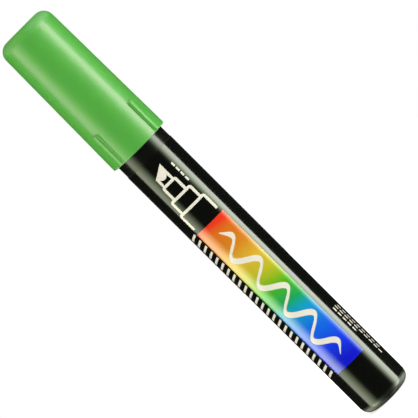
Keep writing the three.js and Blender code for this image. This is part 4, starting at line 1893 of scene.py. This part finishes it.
    def hung(self, name: str, data: bpy.types.Light, way: Vector, height: float) -> Object:
        """Puts a light at its distance, facing the marker.

        Args:
            name: the light's name.
            data: the light.
            way: the direction from the marker to it.
            height: metres above the floor of the place that it faces.

        Returns:
            The light's object.
        """
        made = placed(name, data)
        made.location = Vector((0.0, 0.0, height)) + way * self.light_distance
        made.rotation_euler = way.to_track_quat("Z", "Y").to_euler()
        return made

    def lamp(self, lamp: Lamp) -> None:
        """Hangs a soft square lamp that shapes the colours but isn't mirrored.

        Args:
            lamp: its place, power and size.
        """
        data = bpy.data.lights.new(lamp.name, "AREA")
        data.energy, data.size, data.color = lamp.power, lamp.size, self.lamp_tint
        turn, rise = math.radians(lamp.turn), math.radians(lamp.rise)
        flat = math.cos(rise)
        way = Vector((math.sin(turn) * flat, -math.cos(turn) * flat, math.sin(rise)))
        self.hung(lamp.name, data, way, self.lamp_aim).visible_glossy = False

    def soft_box(self, box: SoftBox) -> None:
        """Stands a soft box beside the marker.

        Args:
            box: its name and its brightness.
        """
        first, last = box.across[0].turn, box.across[-1].turn
        middle, half = math.radians(first + last) / 2, math.radians(last - first) / 2
        low, high = box.upright[0][0], box.upright[-1][0]
        data = bpy.data.lights.new(box.name, "AREA")
        data.shape = "RECTANGLE"
        data.size, data.size_y = 2 * self.light_distance * math.tan(half), high - low
        data.energy = self.box_power * data.size * data.size_y
        data.use_nodes = True
        tree = Tree(data.node_tree)
        x, y, _ = tree.parts(tree.add("ShaderNodeNewGeometry").outputs["Parametric"])
        across = []
        for glow in box.across:
            place = 0.5 + math.tan(math.radians(glow.turn) - middle) / (2 * math.tan(half))
            across.append((place, glow.stop()[1]))
        upright = [((height - low) / (high - low), (share,) * 3) for height, share in box.upright]
        ramps = {0: tree.ramp(x, across), 1: tree.ramp(y, upright)}
        light = tree.add("ShaderNodeVectorMath", ramps, operation="MULTIPLY")
        tree.add("ShaderNodeOutputLight", {"Surface": tree.add("ShaderNodeEmission", {"Color": light})})
        way = Vector((math.sin(middle), -math.cos(middle), 0.0))
        made = self.hung(box.name, data, way, (low + high) / 2)
        made.visible_camera = made.visible_diffuse = made.visible_transmission = False

    def build(self) -> None:
        """Sets up the whole studio."""
        bpy.context.scene.view_settings.view_transform = "Standard"
        self.camera()
        self.world()
        self.floor()
        for lamp in self.lamps:
            self.lamp(lamp)
        for box in self.boxes:
            self.soft_box(box)
        lamps, boxes = len(self.lamps), len(self.boxes)
        log.info("studio: camera, floor, world, %d lamps and %d soft boxes", lamps, boxes)


def main() -> None:
    """Builds the marker from its assemblies, then the studio."""
    logging.basicConfig(level=logging.INFO, format="%(name)s: %(message)s")
    dresser = Dresser()
    BarrelAssembly().build(dresser)
    LabelPrint().build(dresser)
    NoseAssembly().build(dresser)
    ValveAssembly().build(dresser)
    CapAssembly().build(dresser)
    Studio().build()


if __name__ == "__main__":
    main()
